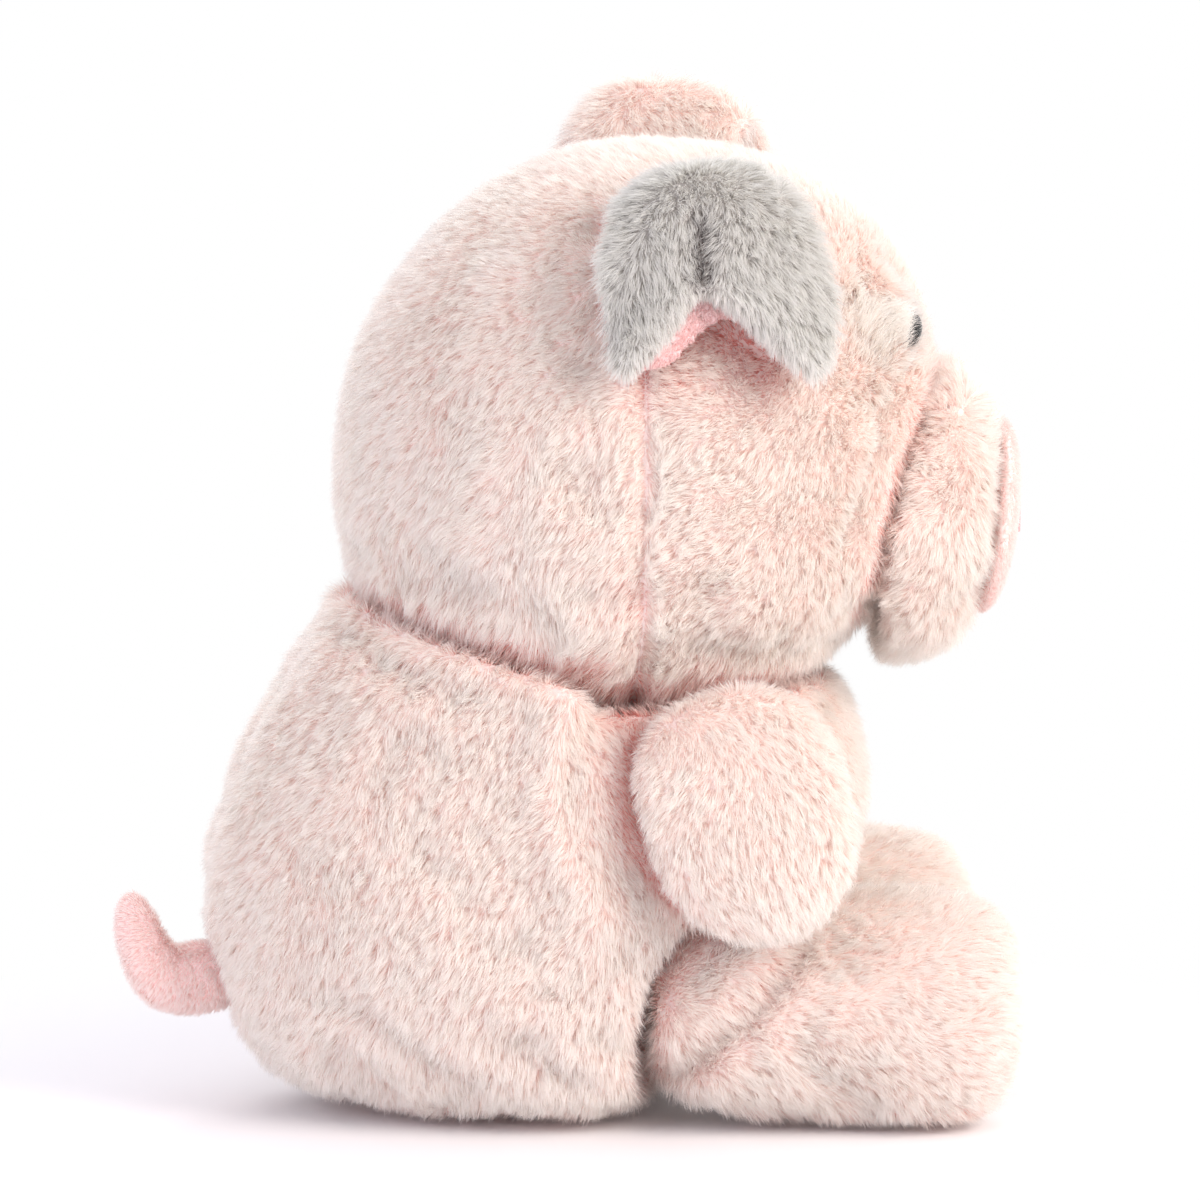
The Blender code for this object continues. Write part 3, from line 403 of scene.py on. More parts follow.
def apply_modifiers(obj):
    """Applies the modifiers of obj to its own mesh."""
    graph = bpy.context.evaluated_depsgraph_get()
    mesh = bpy.data.meshes.new_from_object(obj.evaluated_get(graph))
    old = obj.data
    obj.modifiers.clear()
    obj.data = mesh
    bpy.data.meshes.remove(old)
    mesh.name = obj.name


def keep_largest(obj):
    """Deletes the small closed surfaces that a melt can leave inside."""
    shape = bmesh.new()
    shape.from_mesh(obj.data)
    left = set(shape.verts)
    islands = []
    while left:
        reached = [left.pop()]
        island = []
        while reached:
            vertex = reached.pop()
            island.append(vertex)
            for edge in vertex.link_edges:
                other = edge.other_vert(vertex)
                if other in left:
                    left.remove(other)
                    reached.append(other)
        islands.append(island)
    islands.sort(key=len)
    for island in islands[:-1]:
        bmesh.ops.delete(shape, geom=island, context="VERTS")
    shape.to_mesh(obj.data)
    shape.free()


def read_vectors(mesh, what):
    flat = np.empty(len(mesh.vertices) * 3, np.float32)
    mesh.vertices.foreach_get(what, flat)
    return flat.reshape(-1, 3).astype(float)


def corners_of(mesh):
    return read_vectors(mesh, "co")


def normals_of(mesh):
    return read_vectors(mesh, "normal")


# %% [markdown]
# ## Marks on a skin
#
# A sewer pins, presses and pulls the cloth at chosen spots. Here a mark is a function that gives 1 at
# a spot, along a line or where two parts touch, and fades to 0 around it. The same mark can press the
# cloth, hold it in the simulation, turn the comb, shorten the pile, and paint shade into its colour.

# %% Mark spots and lines, and press a skin there
def near_point(places, centre, reach):
    """1 at centre, fading to 0 over reach, which is a length or one length each for x, y and z."""
    offset = (places - np.array(centre)) / np.array(reach)
    return np.exp(-(offset ** 2).sum(1))


def near_line(places, line, reach, axes=(0, 1, 2)):
    """1 on a line through these points, fading to 0 over reach. Only the axes named are measured, so
    a line drawn from one side marks the cloth that lies straight behind it."""
    line, places = np.array(line, float), places[:, axes]
    best = np.full(len(places), np.inf)
    for a, b in zip(line, line[1:]):
        way = b - a
        share = ((places - a) @ way / (way @ way)).clip(0, 1)
        best = np.minimum(best, np.linalg.norm(places - a - share[:, None] * way, axis=1))
    return np.exp(-(best / reach) ** 2)


def touching(node, reach=0.006):
    """A mark that is 1 where a skin touches another CAD part, fading to 0 over reach."""
    def mark(places):
        gap = np.array([walls[node].find_nearest(Vector(p))[3] for p in places])
        return np.exp(-(gap / reach) ** 2)

    return mark


def press(obj, depth, mark):
    """Moves a skin inwards by depth where mark, a function of the places, is 1."""
    places, normals = corners_of(obj.data), normals_of(obj.data)
    moved = places - normals * (depth * mark(places))[:, None]
    obj.data.vertices.foreach_set("co", moved.ravel())
    obj.data.update()


def shift(obj, way, mark):
    """Moves a skin by way, in metres, where mark is 1."""
    places = corners_of(obj.data)
    obj.data.vertices.foreach_set("co", (places + mark(places)[:, None] * np.array(way)).ravel())
    obj.data.update()


# %% Find where another part lies on a skin
HIDDEN_WORDS = ("stuffing", "pouch", "washer")  # never seen, so they cover nothing
graph = bpy.context.evaluated_depsgraph_get()
walls = {n: BVHTree.FromObject(nodes[n], graph) for n in nodes
         if not any(w in n for w in HIDDEN_WORDS)}
print("parts that can cover a skin:", len(walls))


def open_share(skin, own, reach=0.009, covered=0.25):
    """1 where a skin is open to the eye, and the share covered where another part, or the table, lies
    within reach of it. Pile that nobody sees can be thinner."""
    places, normals = corners_of(skin.data), normals_of(skin.data)
    low, high = places.min(0) - reach, places.max(0) + reach
    near = [wall for n, wall in walls.items() if n not in own
            and all(np.array(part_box(n)[1]) > low) and all(np.array(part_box(n)[0]) < high)]
    share = np.ones(len(places))
    for i, (place, normal) in enumerate(zip(places, normals)):
        here, out = Vector(place), Vector(normal)
        if place[2] + normal[2] * reach < 0 or any(w.ray_cast(here, out, reach)[0] for w in near):
            share[i] = covered
    return share


# %% [markdown]
# ## Stuffing the cloth
#
# A seam cannot stretch, and the cloth between two seams swells under its filling and wrinkles beside
# them. Blender's cloth simulation does just that: a coarse copy of each skin is cut a little too
# large, held at its seams, and blown up for 20 frames. What the cloth has moved by then, at most
# 2 mm, is added to the finer skin, so the wrinkles are those of real cloth. The skins are sunk deep
# enough beforehand to end up at the right size.

# %% Blow up a skin under its filling
BAG_VOXEL, SWELL_FRAMES, MOST_SWELL = 0.005, 20, 0.0020
CUT_TOO_LARGE = 0.05  # how much longer than the skin the cloth is cut
FILLING_PRESSURE = 4.0
NEIGHBOURS = 4  # corners of the coarse cloth that carry one corner of the skin


def stuffed(skin, seams):
    """Adds to a skin what cloth that is cut too large does under pressure while its seams hold."""
    bag = link(bpy.data.objects.new(skin.name + "_bag", skin.data.copy()))
    coarse = bag.modifiers.new("coarse", "REMESH")
    coarse.mode = "VOXEL"
    coarse.voxel_size = BAG_VOXEL
    apply_modifiers(bag)
    before = corners_of(bag.data)
    held = bag.vertex_groups.new(name="seams")
    for i, share in enumerate(np.clip(seams(before), 0, 1)):
        held.add([i], float(share), "REPLACE")
    cloth = bag.modifiers.new("cloth", "CLOTH")
    cloth.settings.quality = 5
    cloth.settings.use_pressure = True
    cloth.settings.uniform_pressure_force = FILLING_PRESSURE
    cloth.settings.shrink_min = -CUT_TOO_LARGE
    cloth.settings.vertex_group_mass = "seams"
    cloth.settings.effector_weights.gravity = 0.0
    scene = bpy.context.scene
    for frame_number in range(1, SWELL_FRAMES + 1):
        scene.frame_set(frame_number)
    swollen = bag.evaluated_get(bpy.context.evaluated_depsgraph_get()).to_mesh()
    moved = corners_of(swollen) - before
    scene.frame_set(1)
    length = np.linalg.norm(moved, axis=1)
    moved *= np.minimum(1, MOST_SWELL / np.maximum(length, 1e-9))[:, None]
    bpy.data.objects.remove(bag)
    places = corners_of(skin.data)
    finder = KDTree(len(before))
    for i, place in enumerate(before):
        finder.insert(place, i)
    finder.balance()
    for i, place in enumerate(places):
        near = finder.find_n(place, NEIGHBOURS)
        weight = np.array([1 / (gap + 0.001) for _, _, gap in near])
        places[i] = place + weight @ moved[[k for _, k, _ in near]] / weight.sum()
    skin.data.vertices.foreach_set("co", places.ravel())
    skin.data.update()
    print(f"{skin.name}: the simulated cloth moved {length.mean() * 1000:.1f} mm on average, "
          f"{length.max() * 1000:.1f} mm at most")


# %% [markdown]
# ## Growing the pile
#
# Blender's hair would look right here, but it is not a mesh, so it would be lost when the toy leaves
# Blender. The strands are therefore made as thin blades: two pairs of points and a tip, narrower and
# paler towards the end, since the deeper colour at the root is painted shade. Every strand starts on
# the skin, leans the way the fur is combed, and is drawn towards the middle of its own lock, which
# gives the small tufts that real pile falls into. All the random numbers come from one seed per piece,
# so that each run grows the same coat.

# %% Choose the roots
def wave(places, seed, length, rows=3):
    """A smooth random vector at each place, about 1 long, that changes over this length in metres."""
    pick = np.random.default_rng(seed)
    out = np.zeros((len(places), 3))
    for _ in range(rows):
        way = pick.normal(size=(3, 3))
        way /= np.linalg.norm(way, axis=1)[:, None]
        phase = pick.uniform(0, 2 * math.pi, 3)
        stretch = pick.uniform(0.7, 1.5)
        out += np.sin(places @ way.T * (2 * math.pi / (length * stretch)) + phase)
    return out / math.sqrt(rows * 1.5)


def unit(rows):
    return rows / np.maximum(np.linalg.norm(rows, axis=1), 1e-12)[:, None]


def along_skin(ways, normal):
    """What is left of these ways when what points out of the skin is taken off."""
    return ways - normal * (ways * normal).sum(1)[:, None]


def scatter(mesh, per_square_mm, pick, keep=None):
    """Random places on a mesh, with the normal at each and how far another part shades it."""
    mesh.calc_loop_triangles()
    flat = np.empty(len(mesh.loop_triangles) * 3, np.int32)
    mesh.loop_triangles.foreach_get("vertices", flat)
    triangles = flat.reshape(-1, 3)
    places, normals = corners_of(mesh), normals_of(mesh)
    a, b, c = (places[triangles[:, i]] for i in range(3))
    weight = np.linalg.norm(np.cross(b - a, c - a), axis=1) / 2
    if keep is not None:
        weight *= keep[triangles].mean(1)
    count = int(weight.sum() * 1e6 * per_square_mm)
    edge = np.cumsum(weight)
    chosen = np.searchsorted(edge, pick.random(count) * edge[-1]).clip(0, len(edge) - 1)
    r, s = pick.random(count), pick.random(count)
    over = r + s > 1
    r[over], s[over] = 1 - r[over], 1 - s[over]
    share = np.stack([1 - r - s, r, s], 1)
    ids = triangles[chosen]
    root = np.einsum("ij,ijk->ik", share, places[ids])
    normal = unit(np.einsum("ij,ijk->ik", share, normals[ids]))
    shade = np.zeros(count) if keep is None else (1 - (share * keep[ids]).sum(1)).clip(0, 1)
    return root, normal, shade


# %% Build the strands
STRANDS_A_PIECE = 60_000
BEND = 0.52  # where along a strand its second pair of points lies
ROOT_UNDER = -0.05  # and its first pair, a little under the skin
TABLE_GAP = 0.0004  # no strand goes lower than this over the table
DROOP = np.array([0, 0, -0.08])  # the pull of its own weight, as a share of the length
COMB_WANDER, WANDER_LENGTH = 0.45, 0.030
SHADE_TONE, PAINTED_SHADE_TONE = 2, 3  # what full cover by another part and a full fold add to the tone, both as painted shade
strands_grown = 0


def grow(name, skin, body, material, comb, per_square_mm=6.8, length=0.0046, width=0.00024,
         lean=0.6, lock=0.0028, gather=0.34, lock_lean=0.22, stray=0.19, seed=1, keep=None, trim=None,
         painted_shade=None):
    """Grows strands on a skin. comb gives the way that the pile lies, lean how far it lies over, lock
    the width of a tuft, lock_lean how far each tuft leans its own way, gather how far its tips draw
    together, stray how far single hairs do as they like, and trim each strand's share of the length.
    The last argument is painted shade: how far a strand's colour goes towards the root's and beyond,
    as in a fold that the light hardly reaches. A strand under another part gets painted shade too."""
    pick = np.random.default_rng(seed)
    root, normal, shade = scatter(skin.data, per_square_mm, pick, keep)
    count = len(root)
    way = comb(root, normal) + COMB_WANDER * wave(root, seed + 7, WANDER_LENGTH)
    way = unit(along_skin(way, normal))

    wobble = root + wave(root, seed + 3, lock * 2.3) * lock * 0.4
    cell = np.floor(wobble / lock).astype(np.int64)
    _, owner = np.unique(cell @ np.array([1, 4096, 4096 * 4096]), return_inverse=True)
    owner = owner.ravel()
    locks = owner.max() + 1
    held = np.bincount(owner, minlength=locks)
    middle = np.stack([np.bincount(owner, root[:, i], locks) for i in range(3)], 1) / held[:, None]
    swerve = along_skin(pick.normal(size=(locks, 3))[owner] * lock_lean, normal)
    size = length * pick.uniform(0.86, 1.10, locks)[owner] * pick.uniform(0.70, 1.12, count)
    if trim is not None:
        size *= trim(root, normal)
    aim = unit(normal + way * lean + swerve + pick.normal(size=(count, 3)) * stray)
    drawn = (middle[owner] - root) * gather
    sag = way * lean * 0.5 + DROOP

    def along(share):
        inward = drawn * max(share, 0.0) ** 1.3
        place = root + (aim * share + sag * share * share) * size[:, None] + inward
        return np.maximum(place, [-9, -9, TABLE_GAP])

    start, bend, tip = along(ROOT_UNDER), along(BEND), along(1.0)
    across = unit(np.cross(aim + pick.normal(size=(count, 3)) * 0.5, normal))
    half = (width / 2) * pick.uniform(0.75, 1.25, count)[:, None] * across
    rows = np.stack([start - half, start + half, bend - half * 0.85, bend + half * 0.85, tip], 1)
    # a random tone of the strand's own, plus painted shade under other parts and in folds
    tone = pick.random(count) + SHADE_TONE * shade
    if painted_shade is not None:
        tone += painted_shade(root, normal) * PAINTED_SHADE_TONE
    for part in range(math.ceil(count / STRANDS_A_PIECE)):
        chosen = slice(part * STRANDS_A_PIECE, (part + 1) * STRANDS_A_PIECE)
        piece = blades(f"{name}_{part + 1}", rows[chosen], tone[chosen], material)
        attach(piece, body)
    global strands_grown
    strands_grown += count
    print(f"{name}: {count} strands in {locks} locks")


def blades(name, rows, tone, material):
    """One mesh of strands, each a quad and a triangle that narrow to the tip."""
    count = len(rows)
    mesh = bpy.data.meshes.new(name)
    mesh.vertices.add(count * 5)
    mesh.vertices.foreach_set("co", rows.astype(np.float32).ravel())
    corners = np.array([0, 1, 3, 2, 2, 3, 4])
    ids = (np.arange(count) * 5)[:, None] + corners
    mesh.loops.add(count * 7)
    mesh.loops.foreach_set("vertex_index", ids.astype(np.int32).ravel())
    starts = (np.arange(count) * 7)[:, None] + np.array([0, 4])
    mesh.polygons.add(count * 2)
    mesh.polygons.foreach_set("loop_start", starts.astype(np.int32).ravel())
    mesh.polygons.foreach_set("use_smooth", np.ones(count * 2, bool))
    mesh.update(calc_edges=True)
    along = mesh.attributes.new(ALONG, "FLOAT", "POINT")
    along.data.foreach_set("value", np.tile(np.array([0, 0, BEND, BEND, 1.0], np.float32), count))
    own = mesh.attributes.new(TONE, "FLOAT", "POINT")
    own.data.foreach_set("value", np.repeat(tone.astype(np.float32), 5))
    side = math.ceil(math.sqrt(count))
    column, line = np.arange(count) % side, np.arange(count) // side
    spots = np.array([[0.15, 0.1], [0.85, 0.1], [0.85, 0.5], [0.15, 0.5],
                      [0.15, 0.5], [0.85, 0.5], [0.5, 0.95]])
    uv = (np.stack([column, line], 1)[:, None, :] + spots) / side
    layer = mesh.uv_layers.new(name="OFBake")
    layer.data.foreach_set("uv", uv.astype(np.float32).ravel())
    mesh.materials.append(material)
    return link(bpy.data.objects.new(name, mesh))


# %% [markdown]
# ## Ways of combing
#
# A real coat lies in one direction on each cut of cloth: down the back and the belly, along the limbs
# to the paws, and on the head back and away from the snout.

# %% Write down the ways
def comb_down(root, normal):
    return np.tile([0.0, 0.25, -1.0], (len(root), 1))


def comb_from(point, droop=0.3):
    centre = np.array(point)

    def comb(root, normal):
        return unit(root - centre) + np.array([0, 0, -droop])

    return comb


def comb_along(way):
    way = np.array(way, float)

    def comb(root, normal):
        return np.tile(way / np.linalg.norm(way), (len(root), 1))

    return comb


# %% [markdown]
# ## Body
#
# The body is a pear of fur with a bag of pellets low in its seat. It sits flat on the table and
# bulges over its own edge. The hollows in which the arms lie are half filled again, because real
# cloth spans such a hollow, and the cloth is pressed out where body and head touch, so that the neck
# shows a soft crease and no gap. Behind the arms, in the back seam and in the low folds the colour of
# the pile goes deeper: that is painted shade.

# %% Dress the body
PILE = 0.0044  # how far the cloth lies under the tips of the fur, before it swells
# y and z, drawn from the side: the folds low on the back, and the painted shade round each arm
LOW_FOLDS = ([(0.058, 0.036), (0.044, 0.026), (0.030, 0.016)], [(0.066, 0.024), (0.052, 0.015)],
             [(0.020, 0.030), (0.006, 0.020)])
ARM_SHADE = [(-0.009, 0.129), (-0.011, 0.095), (-0.018, 0.079), (-0.035, 0.062), (-0.054, 0.055)]
CREASE_TRIM = 0.35  # how much longer the pile is in a crease, which it closes


def arm_hollows(places, reach=(0.020, 0.012, 0.035)):
    return sum(near_point(places, (x, -0.001, 0.098), reach) for x in (-0.058, 0.058))


def low_folds(places):
    return sum(near_line(places, fold, 0.0035, (1, 2)) for fold in LOW_FOLDS)


def painted_shade_behind_arms(places):
    return near_line(places, ARM_SHADE, 0.008, (1, 2)) * (np.abs(places[:, 0]) > 0.03)


def back_seam(places):
    return np.exp(-(places[:, 0] / 0.003) ** 2) * (places[:, 1] > 0.01)


torso = melted("torso_skin", ["torso", "torso_stuffing", "bean_pouch"], COARSE_VOXEL, PILE)
shift(torso, (0.009, 0, 0), lambda places: np.sign(places[:, 0]) * arm_hollows(places))
press(torso, -0.0030, touching("head"))
press(torso, 0.0010, low_folds)
press(torso, 0.0012, back_seam)
stuffed(torso, lambda places: back_seam(places) + low_folds(places) + touching("head")(places)
        + arm_hollows(places, (0.040, 0.040, 0.045)) + (places[:, 2] < 0.006))
torso.data.materials.append(pink_ground)
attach(torso, "torso")
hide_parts("torso", "torso_stuffing", "bean_pouch")
grow("torso_fur", torso, "torso", pink_pile, comb_down, seed=11,
     keep=open_share(torso, ["torso"], covered=0.35),
     trim=lambda root, normal: 1 - 0.15 * back_seam(root) + CREASE_TRIM * touching("head", 0.007)(root)
     + CREASE_TRIM * touching("leg_right", 0.007)(root)
     + CREASE_TRIM * touching("leg_left", 0.007)(root),
     # painted shade in the low folds, in the back seam and behind the arms
     painted_shade=lambda root, normal: 0.05 * low_folds(root).clip(0, 1) + 0.10 * back_seam(root)
     + 0.45 * painted_shade_behind_arms(root))

neck = melted("neck_filling", ["neck_stuffing"], FINE_VOXEL, 0.0004)
neck.data.materials.append(stuffing_fluff)
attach(neck, "neck")
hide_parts("neck_stuffing")

# %% [markdown]
# ## Head and muzzle
#
# The head is one large bag with a seam in front of the ears, and the muzzle is a second, short one
# sewn to it. Where they meet, both skins are pressed out again. Round the eyes the cloth is pressed
# out too, so that it hides the washers, and the pile is longer and combed forward, so that the eyes
# lie nested in it, as they do on such toys. The dents are those of a toy that has been held by the
# face. In them, in the face seam and under the ears' notches the pile gets painted shade.

# %% Dress the head
FACE_SEAM = -0.0146  # the y at which the back of the head is sewn to the face
CHEEK_DENT = (-0.072, -0.010, 0.148)
UNDER_EAR = [(-0.018, 0.216), (-0.032, 0.226), (-0.046, 0.214)]  # y and z: under the notch, where the pile gets painted shade
eyes = [tuple((a + b) / 2 for a, b in zip(*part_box(f"eye_{side}"))) for side in ("right", "left")]


def face_seam(places, reach=0.0035):
    low = 1 / (1 + np.exp((places[:, 2] - 0.230) / 0.004))  # it runs out of sight between the ears
    return low * np.exp(-((places[:, 1] - FACE_SEAM) / reach) ** 2)


def round_eyes(places):
    return sum(near_point(places, eye, 0.010) for eye in eyes)


def beside_eyes(places):
    return sum(near_point(places, (x + math.copysign(0.011, x), y + 0.006, z), 0.010)
               for x, y, z in eyes)


def comb_head(root, normal):
    back = 1 / (1 + np.exp(-(root[:, 1] - 0.010) / 0.008))[:, None]
    away = comb_from((0, -0.09, 0.17))(root, normal) * (1 - back) + comb_down(root, normal) * back
    seam = face_seam(root, 0.006) * np.sign(root[:, 1] - FACE_SEAM)
    away[:, 1] += seam - 1.2 * beside_eyes(root)
    return away


head = melted("head_skin", ["head", "head_stuffing", "eye_washer_right", "eye_washer_left"],
              COARSE_VOXEL, PILE)
press(head, 0.0012, face_seam)
press(head, 0.0025, lambda places: near_point(places, CHEEK_DENT, 0.008))
press(head, -0.0044, round_eyes)
press(head, -0.0042, touching("muzzle", 0.007))
press(head, -0.0030, touching("torso"))
stuffed(head, lambda places: face_seam(places) + touching("torso")(places)
        + touching("muzzle")(places) + round_eyes(places) + beside_eyes(places)
        + touching("ear_right", 0.005)(places) + touching("ear_left", 0.005)(places))
head.data.materials.append(pink_ground)
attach(head, "head")
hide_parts("head", "head_stuffing")
grow("head_fur", head, "head", pink_pile, comb_head, seed=23,
     keep=open_share(head, ["head"]) + beside_eyes(corners_of(head.data)),
     trim=lambda root, normal: 1 - 0.2 * face_seam(root) + 0.8 * beside_eyes(root)
     + 0.7 * round_eyes(root) + CREASE_TRIM * touching("torso", 0.007)(root),
     # painted shade in the face seam, in the cheek dent and under the ears' notches
     painted_shade=lambda root, normal: 0.05 * face_seam(root) + 0.8 * near_point(root, CHEEK_DENT, 0.007)
     + 0.7 * near_line(root, UNDER_EAR, 0.011, (1, 2)) * (np.abs(root[:, 0]) > 0.04))

# %% Dress the muzzle
MUZZLE_PILE = 0.0032  # the muzzle is a narrow ring, so its cloth lies less deep
MUZZLE_DENT = (-0.045, -0.092, 0.208)
DISC_RIM = -0.113  # the y of the snout disc's rim


def round_disc(places):
    """1 at the rim of the snout disc, which the fur of the muzzle half covers."""
    return np.exp(-((places[:, 1] - DISC_RIM) / 0.007) ** 2)


def comb_muzzle(root, normal):
    away = comb_from((0, -0.13, 0.165))(root, normal)
    away[:, 1] -= 2.5 * round_disc(root)
    return away


muzzle = melted("muzzle_skin", ["muzzle", "muzzle_stuffing"], COARSE_VOXEL, MUZZLE_PILE)
press(muzzle, 0.0025, lambda places: near_point(places, MUZZLE_DENT, 0.008))
press(muzzle, -0.0030, touching("head", 0.007))
stuffed(muzzle, lambda places: touching("head")(places) + touching("snout")(places))
muzzle.data.materials.append(pink_ground)
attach(muzzle, "head")
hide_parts("muzzle", "muzzle_stuffing")
grow("muzzle_fur", muzzle, "head", pink_pile, comb_muzzle, seed=31,
     keep=open_share(muzzle, ["muzzle"], covered=0.6),
     trim=lambda root, normal: 1 + 0.35 * round_disc(root),
     # painted shade in the dent of the muzzle
     painted_shade=lambda root, normal: 0.6 * near_point(root, MUZZLE_DENT, 0.007))

# %% [markdown]
# ## Arms and legs
#
# The arms are flat paddles that hang from the shoulders, and the legs are blunt stubs. A leg that is
# set forward drags its cloth into a crease from the hip down to the table. It is drawn here as a line
# and pressed in, since a simulation as coarse as the one above would not find it.

# %% Dress the arms and legs
HIP_CREASE = [(-0.056, 0.051), (-0.041, 0.033), (-0.014, 0.009)]  # y and z, drawn from the side


def hip_crease(places):
    return near_line(places, HIP_CREASE, 0.0045, (1, 2)) * (np.abs(places[:, 0]) > 0.045)


for side in ("right", "left"):
    arm = melted(f"arm_skin_{side}", [f"arm_{side}", f"arm_stuffing_{side}"], FINE_VOXEL * 1.4, PILE)
    stuffed(arm, touching("torso"))
    arm.data.materials.append(pink_ground)
    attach(arm, f"arm_{side}")
    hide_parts(f"arm_{side}", f"arm_stuffing_{side}")
    grow(f"arm_fur_{side}", arm, f"arm_{side}", pink_pile, comb_along((0, -0.3, -1)),
         seed=41, keep=open_share(arm, [f"arm_{side}"]))
    leg = melted(f"leg_skin_{side}", [f"leg_{side}", f"leg_stuffing_{side}"], COARSE_VOXEL, PILE)
    press(leg, 0.0030, hip_crease)
    stuffed(leg, lambda places: touching("torso")(places) + hip_crease(places)
            + (places[:, 2] < 0.006))
    leg.data.materials.append(pink_ground)
    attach(leg, f"leg_{side}")
    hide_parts(f"leg_{side}", f"leg_stuffing_{side}")
    grow(f"leg_fur_{side}", leg, f"leg_{side}", pink_pile, comb_along((0, -1, -0.3)),
         seed=53, keep=open_share(leg, [f"leg_{side}"], covered=0.5),
         trim=lambda root, normal: 1 + 0.4 * touching("torso", 0.007)(root),
         # painted shade in the crease from the hip
         painted_shade=lambda root, normal: 0.25 * hip_crease(root))

# %% [markdown]
# ## Ears
#
# An ear is a flap of fur lined with velour, folded over and pinched in its middle, so that it hangs
# in two lobes with a notch between them. The lining rolls out under the edge of the notch. The fold
# itself is the CAD's; here the notch is rounded, the lining's hem is rolled out further, and the
# pinch is pressed in. On the near ear one layer ends on the next in a shallow step.

# %% Dress the ears and their linings
# y and z, drawn from the side: the pinch above the notch, the edge of the notch, the rolled hem of
# lining, and the edge at which the front layer of the fold ends on the one behind it
EAR_PINCH = [(-0.029, 0.251), (-0.028, 0.238)]
NOTCH = [(-0.010, 0.209), (-0.030, 0.234), (-0.050, 0.212)]
HEM = [(-0.013, 0.213), (-0.028, 0.231)]
BACK_LAYER = [(-0.050, 0.266), (-0.0555, 0.259), (-0.0595, 0.250), (-0.0635, 0.238)]
NOTCH_TOP, FRONT_CORNER, LINING_ROLL = (-0.030, 0.226), (0.0, 0.262), (-0.018, 0.214)
for side, pile, ground, slot_name, seed in (("right", grey_pile, grey_ground, "grey_fur", 61),
                                            ("left", pink_pile, pink_ground, "pink_fur", 67)):
    ear = melted(f"ear_skin_{side}", [f"ear_{side}"], FINE_VOXEL, 0.0016)
    shift(ear, (0, 0.001, 0.005), lambda places: near_point(places[:, 1:], NOTCH_TOP, 0.009))
    shift(ear, (0, 0.0025, 0.002), lambda places: near_line(places, HEM, 0.007, (1, 2)))
    press(ear, 0.0015, lambda places: near_line(places, EAR_PINCH, 0.004, (1, 2)))
    shift(ear, (0, -0.005, -0.002), lambda places: near_point(places[:, 1:], FRONT_CORNER, 0.014))
    layered = 1.0 if side == "right" else 0.0
    press(ear, 0.0012 * layered, lambda places: near_line(places, BACK_LAYER, 0.003, (1, 2)))
    ear.data.materials.append(ground)
    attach(ear, f"ear_{side}")
    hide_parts(f"ear_{side}")
    bare = touching(f"ear_lining_{side}", 0.0035)(corners_of(ear.data))
    grow(f"ear_fur_{side}", ear, f"ear_{side}", pile, comb_along((0, 0, -1)),
         length=0.0052, lock=0.0024, lock_lean=0.18, stray=0.16, seed=seed,
         keep=open_share(ear, [f"ear_{side}", f"ear_lining_{side}"]) * (1 - bare),
         trim=lambda root, normal: 1 - 0.4 * near_line(root, NOTCH, 0.005, (1, 2))
         - 0.3 * near_line(root, EAR_PINCH, 0.004, (1, 2)),
         # painted shade in the pinch, and on the near ear at the step to the layer behind
         painted_shade=lambda root, normal: (0.3 + layered) * near_line(root, EAR_PINCH, 0.0034, (1, 2))
         + 0.35 * layered * near_line(root, BACK_LAYER, 0.0022, (1, 2)))
    lining = melted(f"ear_lining_skin_{side}", [f"ear_lining_{side}"], 0.0007, 0.0002, 6)
    shift(lining, (0, 0, -0.0035), lambda places: near_point(places[:, 1:], LINING_ROLL, 0.009))
    press(lining, -0.0036, lambda places: near_line(places, HEM, 0.007, (1, 2)))
    lining.data.materials.append(lining_velour)
    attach(lining, f"ear_{side}")
    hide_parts(f"ear_lining_{side}")
    grow(f"ear_lining_nap_{side}", lining, f"ear_{side}", rose_nap_pile,
         comb_along((0, 0.3, -1)), per_square_mm=9, length=0.0008, lean=0.5, lock=0.0012,
         seed=seed + 100)

# %% [markdown]
# ## Tail and snout
#
# The tail is a thin tube of short plush, turned up. The snout is a padded velour disc, and its nap is
# brushed down, so that its edge shows a soft bright line against the fur.

# %% Dress the tail and the snout
tail = melted("tail_skin", ["tail"], FINE_VOXEL, 0.0012)
tail.data.materials.append(tail_ground)
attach(tail, "tail")
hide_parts("tail")
grow("tail_fur", tail, "tail", tail_pile, comb_from((0, 0.09, 0.05)), per_square_mm=6,
     length=0.0020, width=0.00026, lean=0.8, lock=0.0016, seed=71)

snout = melted("snout_skin", ["snout"], 0.0010, 0.0003, 8)
snout.data.materials.append(snout_velour)
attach(snout, "head")
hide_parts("snout")
grow("snout_nap", snout, "head", nap_pile, comb_along((0, 0, -1)), per_square_mm=10,
     length=0.0012, lean=0.5, lock=0.0012, seed=73, keep=open_share(snout, ["snout"], 0.004))

# %% [markdown]
# ## Nostrils and eyes
#
# A nostril is an oval of satin stitch: one thread goes to and fro, each turn arched from edge to edge
# of the oval, and the turns lie side by side. The eyes and their washers are plain moulded pieces
# whose CAD form is already right, so they keep it and only get their plastics.

# %% Stitch the nostrils, and finish the eyes
THREAD, STITCH_PITCH = 0.00048, 0.00040
STITCH_RISE = 0.35  # how high a stitch arches, as a share of the CAD nostril's depth
ARCH_STEPS, THREAD_SIDES = 8, 6


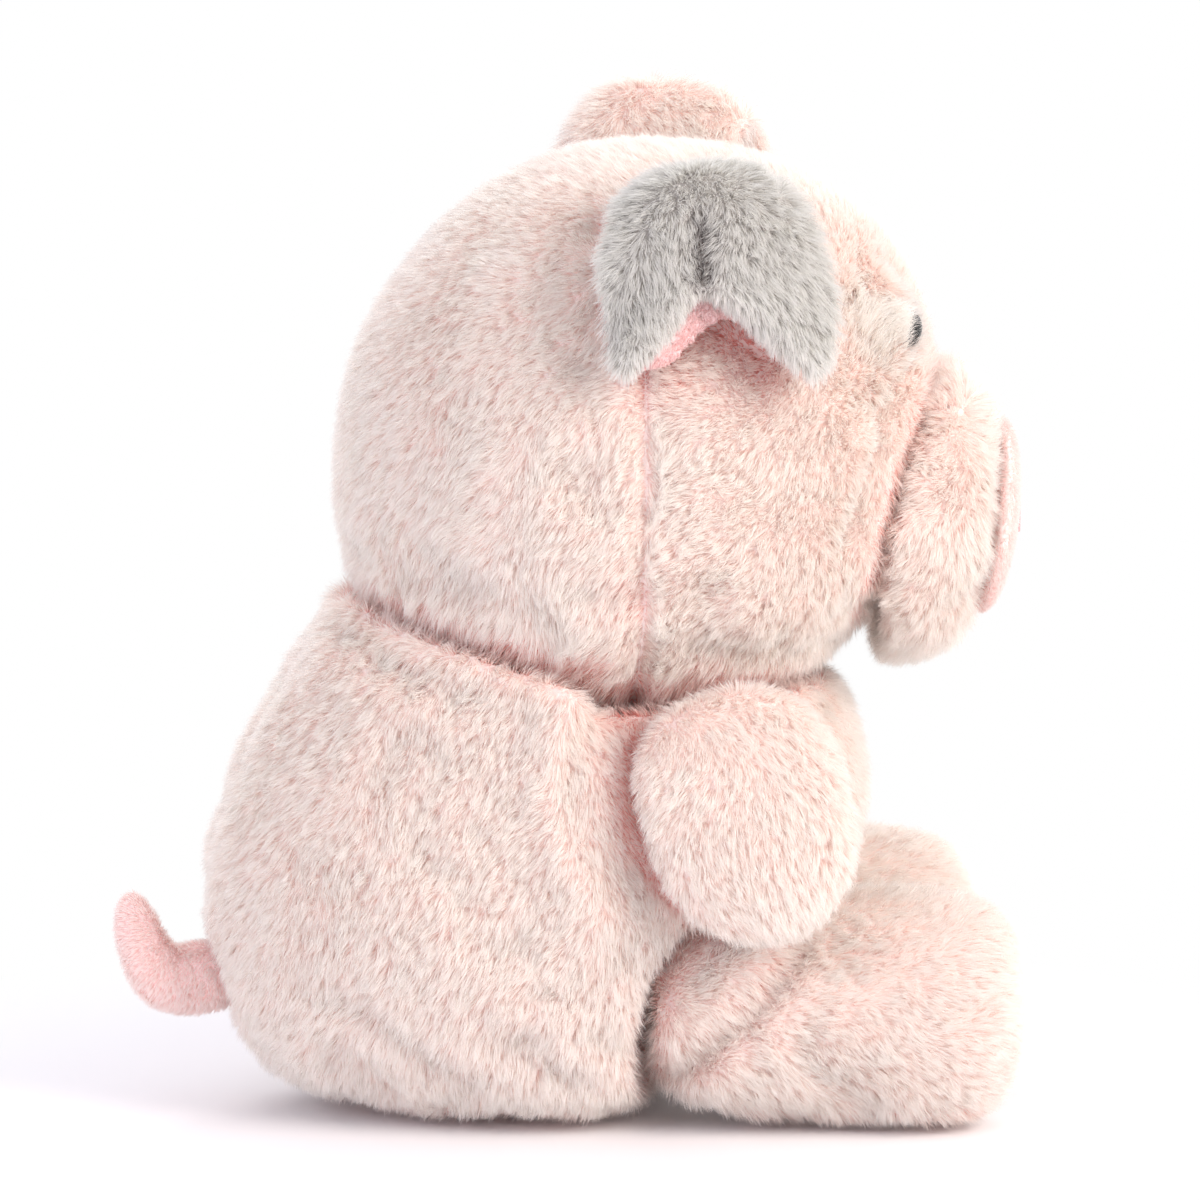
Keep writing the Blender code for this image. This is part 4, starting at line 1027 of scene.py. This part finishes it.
def satin_stitch(name, low, high):
    """Threads laid side by side across an oval, each one arched from edge to edge."""
    shape = bmesh.new()
    centre, half = (low + high) / 2, (high - low) / 2
    rise = STITCH_RISE * (high[1] - low[1])
    up = Vector((0, 0, 1))
    for row in range(int(2 * half[2] / STITCH_PITCH)):
        z = low[2] + STITCH_PITCH * (row + 0.5)
        reach = half[0] * math.sqrt(max(0.0, 1 - ((z - centre[2]) / half[2]) ** 2))
        if reach < THREAD:
            continue
        rings = []
        for step in range(ARCH_STEPS + 1):
            turn = math.pi * step / ARCH_STEPS
            out = Vector((math.cos(turn), -math.sin(turn), 0.0))
            spot = Vector((centre[0] + reach * out.x, high[1] + rise * out.y, z))
            angles = (k * 2 * math.pi / THREAD_SIDES for k in range(THREAD_SIDES))
            rings.append([shape.verts.new(spot + THREAD / 2 * (math.cos(a) * out + math.sin(a) * up))
                          for a in angles])
        for ring, following in zip(rings, rings[1:]):
            for k in range(THREAD_SIDES):
                after = (k + 1) % THREAD_SIDES
                shape.faces.new((ring[k], ring[after], following[after], following[k]))
        shape.faces.new(rings[0][::-1])
        shape.faces.new(rings[-1])
    bmesh.ops.recalc_face_normals(shape, faces=shape.faces)
    mesh = bpy.data.meshes.new(name)
    shape.to_mesh(mesh)
    shape.free()
    mesh.polygons.foreach_set("use_smooth", np.ones(len(mesh.polygons), bool))
    mesh.materials.append(rayon_thread)
    print(f"{name}: {len(mesh.polygons)} faces")
    return link(bpy.data.objects.new(name, mesh))


for side in ("right", "left"):
    low, high = (np.array(corner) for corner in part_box(f"nostril_{side}"))
    stitches = satin_stitch(f"nostril_stitches_{side}", low, high)
    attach(stitches, "head")
    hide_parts(f"nostril_{side}")
    for member, finish in ((f"eye_{side}", polished_eye), (f"eye_washer_{side}", natural_pp)):
        mesh = nodes[member].data
        mesh.materials.clear()
        mesh.materials.append(finish)

# %% [markdown]
# ## Strands
#
# The last cell writes down how many strands were grown.

# %% Write down the number of strands
print("strands in all:", strands_grown)
